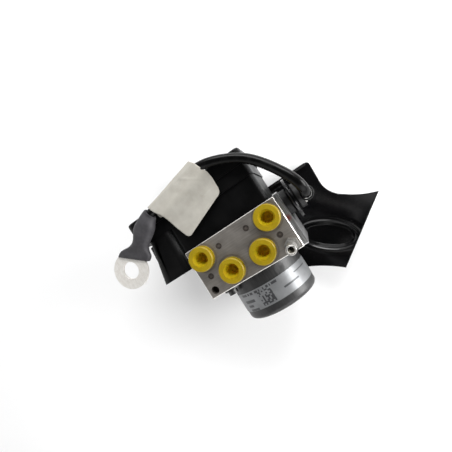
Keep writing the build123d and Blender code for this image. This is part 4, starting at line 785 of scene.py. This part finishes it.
def wavy(along, across, centre, height):
    """Height of the upper layer with its waves, where it lies flat, and its creases."""
    flat = limited((across - centre - FLAT_FROM) / FLAT_OVER)
    for depth, along_rate, across_rate, start in WAVES:
        height += depth * flat * math.sin(along_rate * along + across_rate * across + start)
    return max(height + crease_height(along, across), UPPER_LOWEST)


def label_strip(share):
    """Points of one strip across the label, from one free edge round the fold to the other."""
    centre = CABLE_ACROSS + CABLE_SHIFT * share
    upper, lower = layer_lines(share)
    layers = []
    for line, near, far in ((upper, UPPER_NEAR, UPPER_FAR), (lower, LOWER_NEAR, LOWER_FAR)):
        points = []
        for across, height in soft_line(line, ACROSS):
            first = table_value(near, across)
            along = first + share * (table_value(far, across) - first)
            if line is upper:
                height = wavy(along, across, centre, height)
            points.append((
                FOLD_NEAR[0] + along * FOLD_ALONG[0] + across * FOLD_ACROSS[0],
                FOLD_NEAR[1] + along * FOLD_ALONG[1] + across * FOLD_ACROSS[1],
                height,
            ))
        layers.append(points)
    return layers[0][::-1] + layers[1][1:]


def label_mesh():
    """Points and faces of the whole label."""
    rows = 2 * ACROSS + 1
    points = []
    for column in range(ALONG + 1):
        points += label_strip(column / ALONG)
    faces = []
    for column in range(ALONG):
        for row in range(rows - 1):
            corner = column * rows + row
            faces.append((corner, corner + rows, corner + rows + 1, corner + 1))
    return points, faces


label = add_mesh("cloth_label", *label_mesh(), finishes["label_cloth"])
thicken = label.modifiers.new("cloth", "SOLIDIFY")
thicken.thickness = CLOTH * MM
thicken.offset = 0.0
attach(label, "unit")
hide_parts("cable_label")


# Control housing, whose connector side reaches as far left as the photograph shows
SHELL_FROM = -50.0
SHROUD_MOUTH, SHROUD_ROOT = 7.4, 41.0
ROOT_SLACK = 0.2


def reach_stretch(solid_end, photo_end):
    """How much longer a run is that starts at SHELL_FROM and ends where the photograph has it."""
    return (photo_end - SHELL_FROM) / (solid_end - SHELL_FROM)


MOUTH_STRETCH = reach_stretch(-64.0, -68.4)
ROOT_STRETCH = reach_stretch(-59.0, -67.6)
FLANGE_STRETCH = reach_stretch(-66.0, -68.6)


def stand_in(name, piece_name):
    """A copy of a rigid node that takes the node's place."""
    piece = add_object(piece_name, nodes[name].data.copy())
    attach(piece, "unit")
    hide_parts(name)
    return piece


def widen(piece):
    for vertex in piece.data.vertices:
        x, y = vertex.co.x / MM, vertex.co.y / MM
        if x >= SHELL_FROM:
            continue
        towards_root = limited((y - SHROUD_MOUTH) / (SHROUD_ROOT - SHROUD_MOUTH))
        stretch = MOUTH_STRETCH + towards_root * (ROOT_STRETCH - MOUTH_STRETCH)
        if y > SHROUD_ROOT - ROOT_SLACK:
            stretch = FLANGE_STRETCH
        vertex.co.x = MM * (SHELL_FROM + (x - SHELL_FROM) * stretch)


widen(stand_in("ecu_housing", "control_housing_shell"))
widen(stand_in("ecu_lid", "control_housing_cover"))


# Accumulator springs, each replaced by its own copy of the mesh
for number, side, joint in ((1, -1, "left_accumulator_travel"), (2, 1, "right_accumulator_travel")):
    spring = stand_in(f"accumulator_spring_{number}", f"squeezed_spring_{number}")
    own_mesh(spring)


# Studio, in metres
FLOOR_HALF = 0.8
FLOOR_GAP = 0.00005
MIDDLE = (0.0, 0.0, -0.03)
SOFTBOXES = [
    ("key_light", (0.35, 0.60, 0.40), 0.7, 0.35, 6.5),
    ("right_light", (0.80, -0.20, 0.20), 0.5, 0.35, 9.0),
    ("left_light", (-0.65, 0.25, 0.35), 0.6, 0.6, 0.9),
    ("low_light", (0.05, -0.80, 0.50), 1.1, 0.6, 4.5),
]
SKY = [(0.0, 1.25), (0.35, 1.15), (0.6, 0.5), (0.85, 0.06), (1.0, 0.04)]
SKY_STRENGTH = 0.9

reach = FLOOR_HALF / MM
floor_height = (min(corner[2] for corner in cad_box) - FLOOR_GAP) / MM
corners_around = ((-reach, -reach), (reach, -reach), (reach, reach), (-reach, reach))
floor_corners = [(x, y, floor_height) for x, y in corners_around]
pale = Finish("pale_floor", (0.93, 0.93, 0.93), 0.95)
pale.plain(Specular_IOR_Level=0.0)
floor = add_mesh("floor", floor_corners, [(0, 1, 2, 3)], pale.material, False)

for name, place, width, height, power in SOFTBOXES:
    light = bpy.data.lights.new(name, "AREA")
    light.shape = "RECTANGLE"
    light.size = width
    light.size_y = height
    light.energy = power
    softbox = add_object(name, light)
    softbox.location = place
    softbox.rotation_euler = (Vector(MIDDLE) - Vector(place)).to_track_quat("-Z", "Y").to_euler()

# Sky that is bright below and at the horizon, and dark overhead
world = bpy.data.worlds.new("studio")
bpy.context.scene.world = world
world.use_nodes = True
sky = world.node_tree
background = sky.nodes["Background"]
direction = sky.nodes.new("ShaderNodeTexCoord")
split = sky.nodes.new("ShaderNodeSeparateXYZ")
shade = sky.nodes.new("ShaderNodeValToRGB")
sky.links.new(direction.outputs["Generated"], split.inputs["Vector"])
sky.links.new(split.outputs["Z"], shade.inputs["Fac"])
sky.links.new(shade.outputs["Color"], background.inputs["Color"])
for at, _ in SKY[1:-1]:
    shade.color_ramp.elements.new(at)
for element, (_, level) in zip(shade.color_ramp.elements, SKY):
    element.color = (level, level, level, 1.0)
background.inputs["Strength"].default_value = SKY_STRENGTH
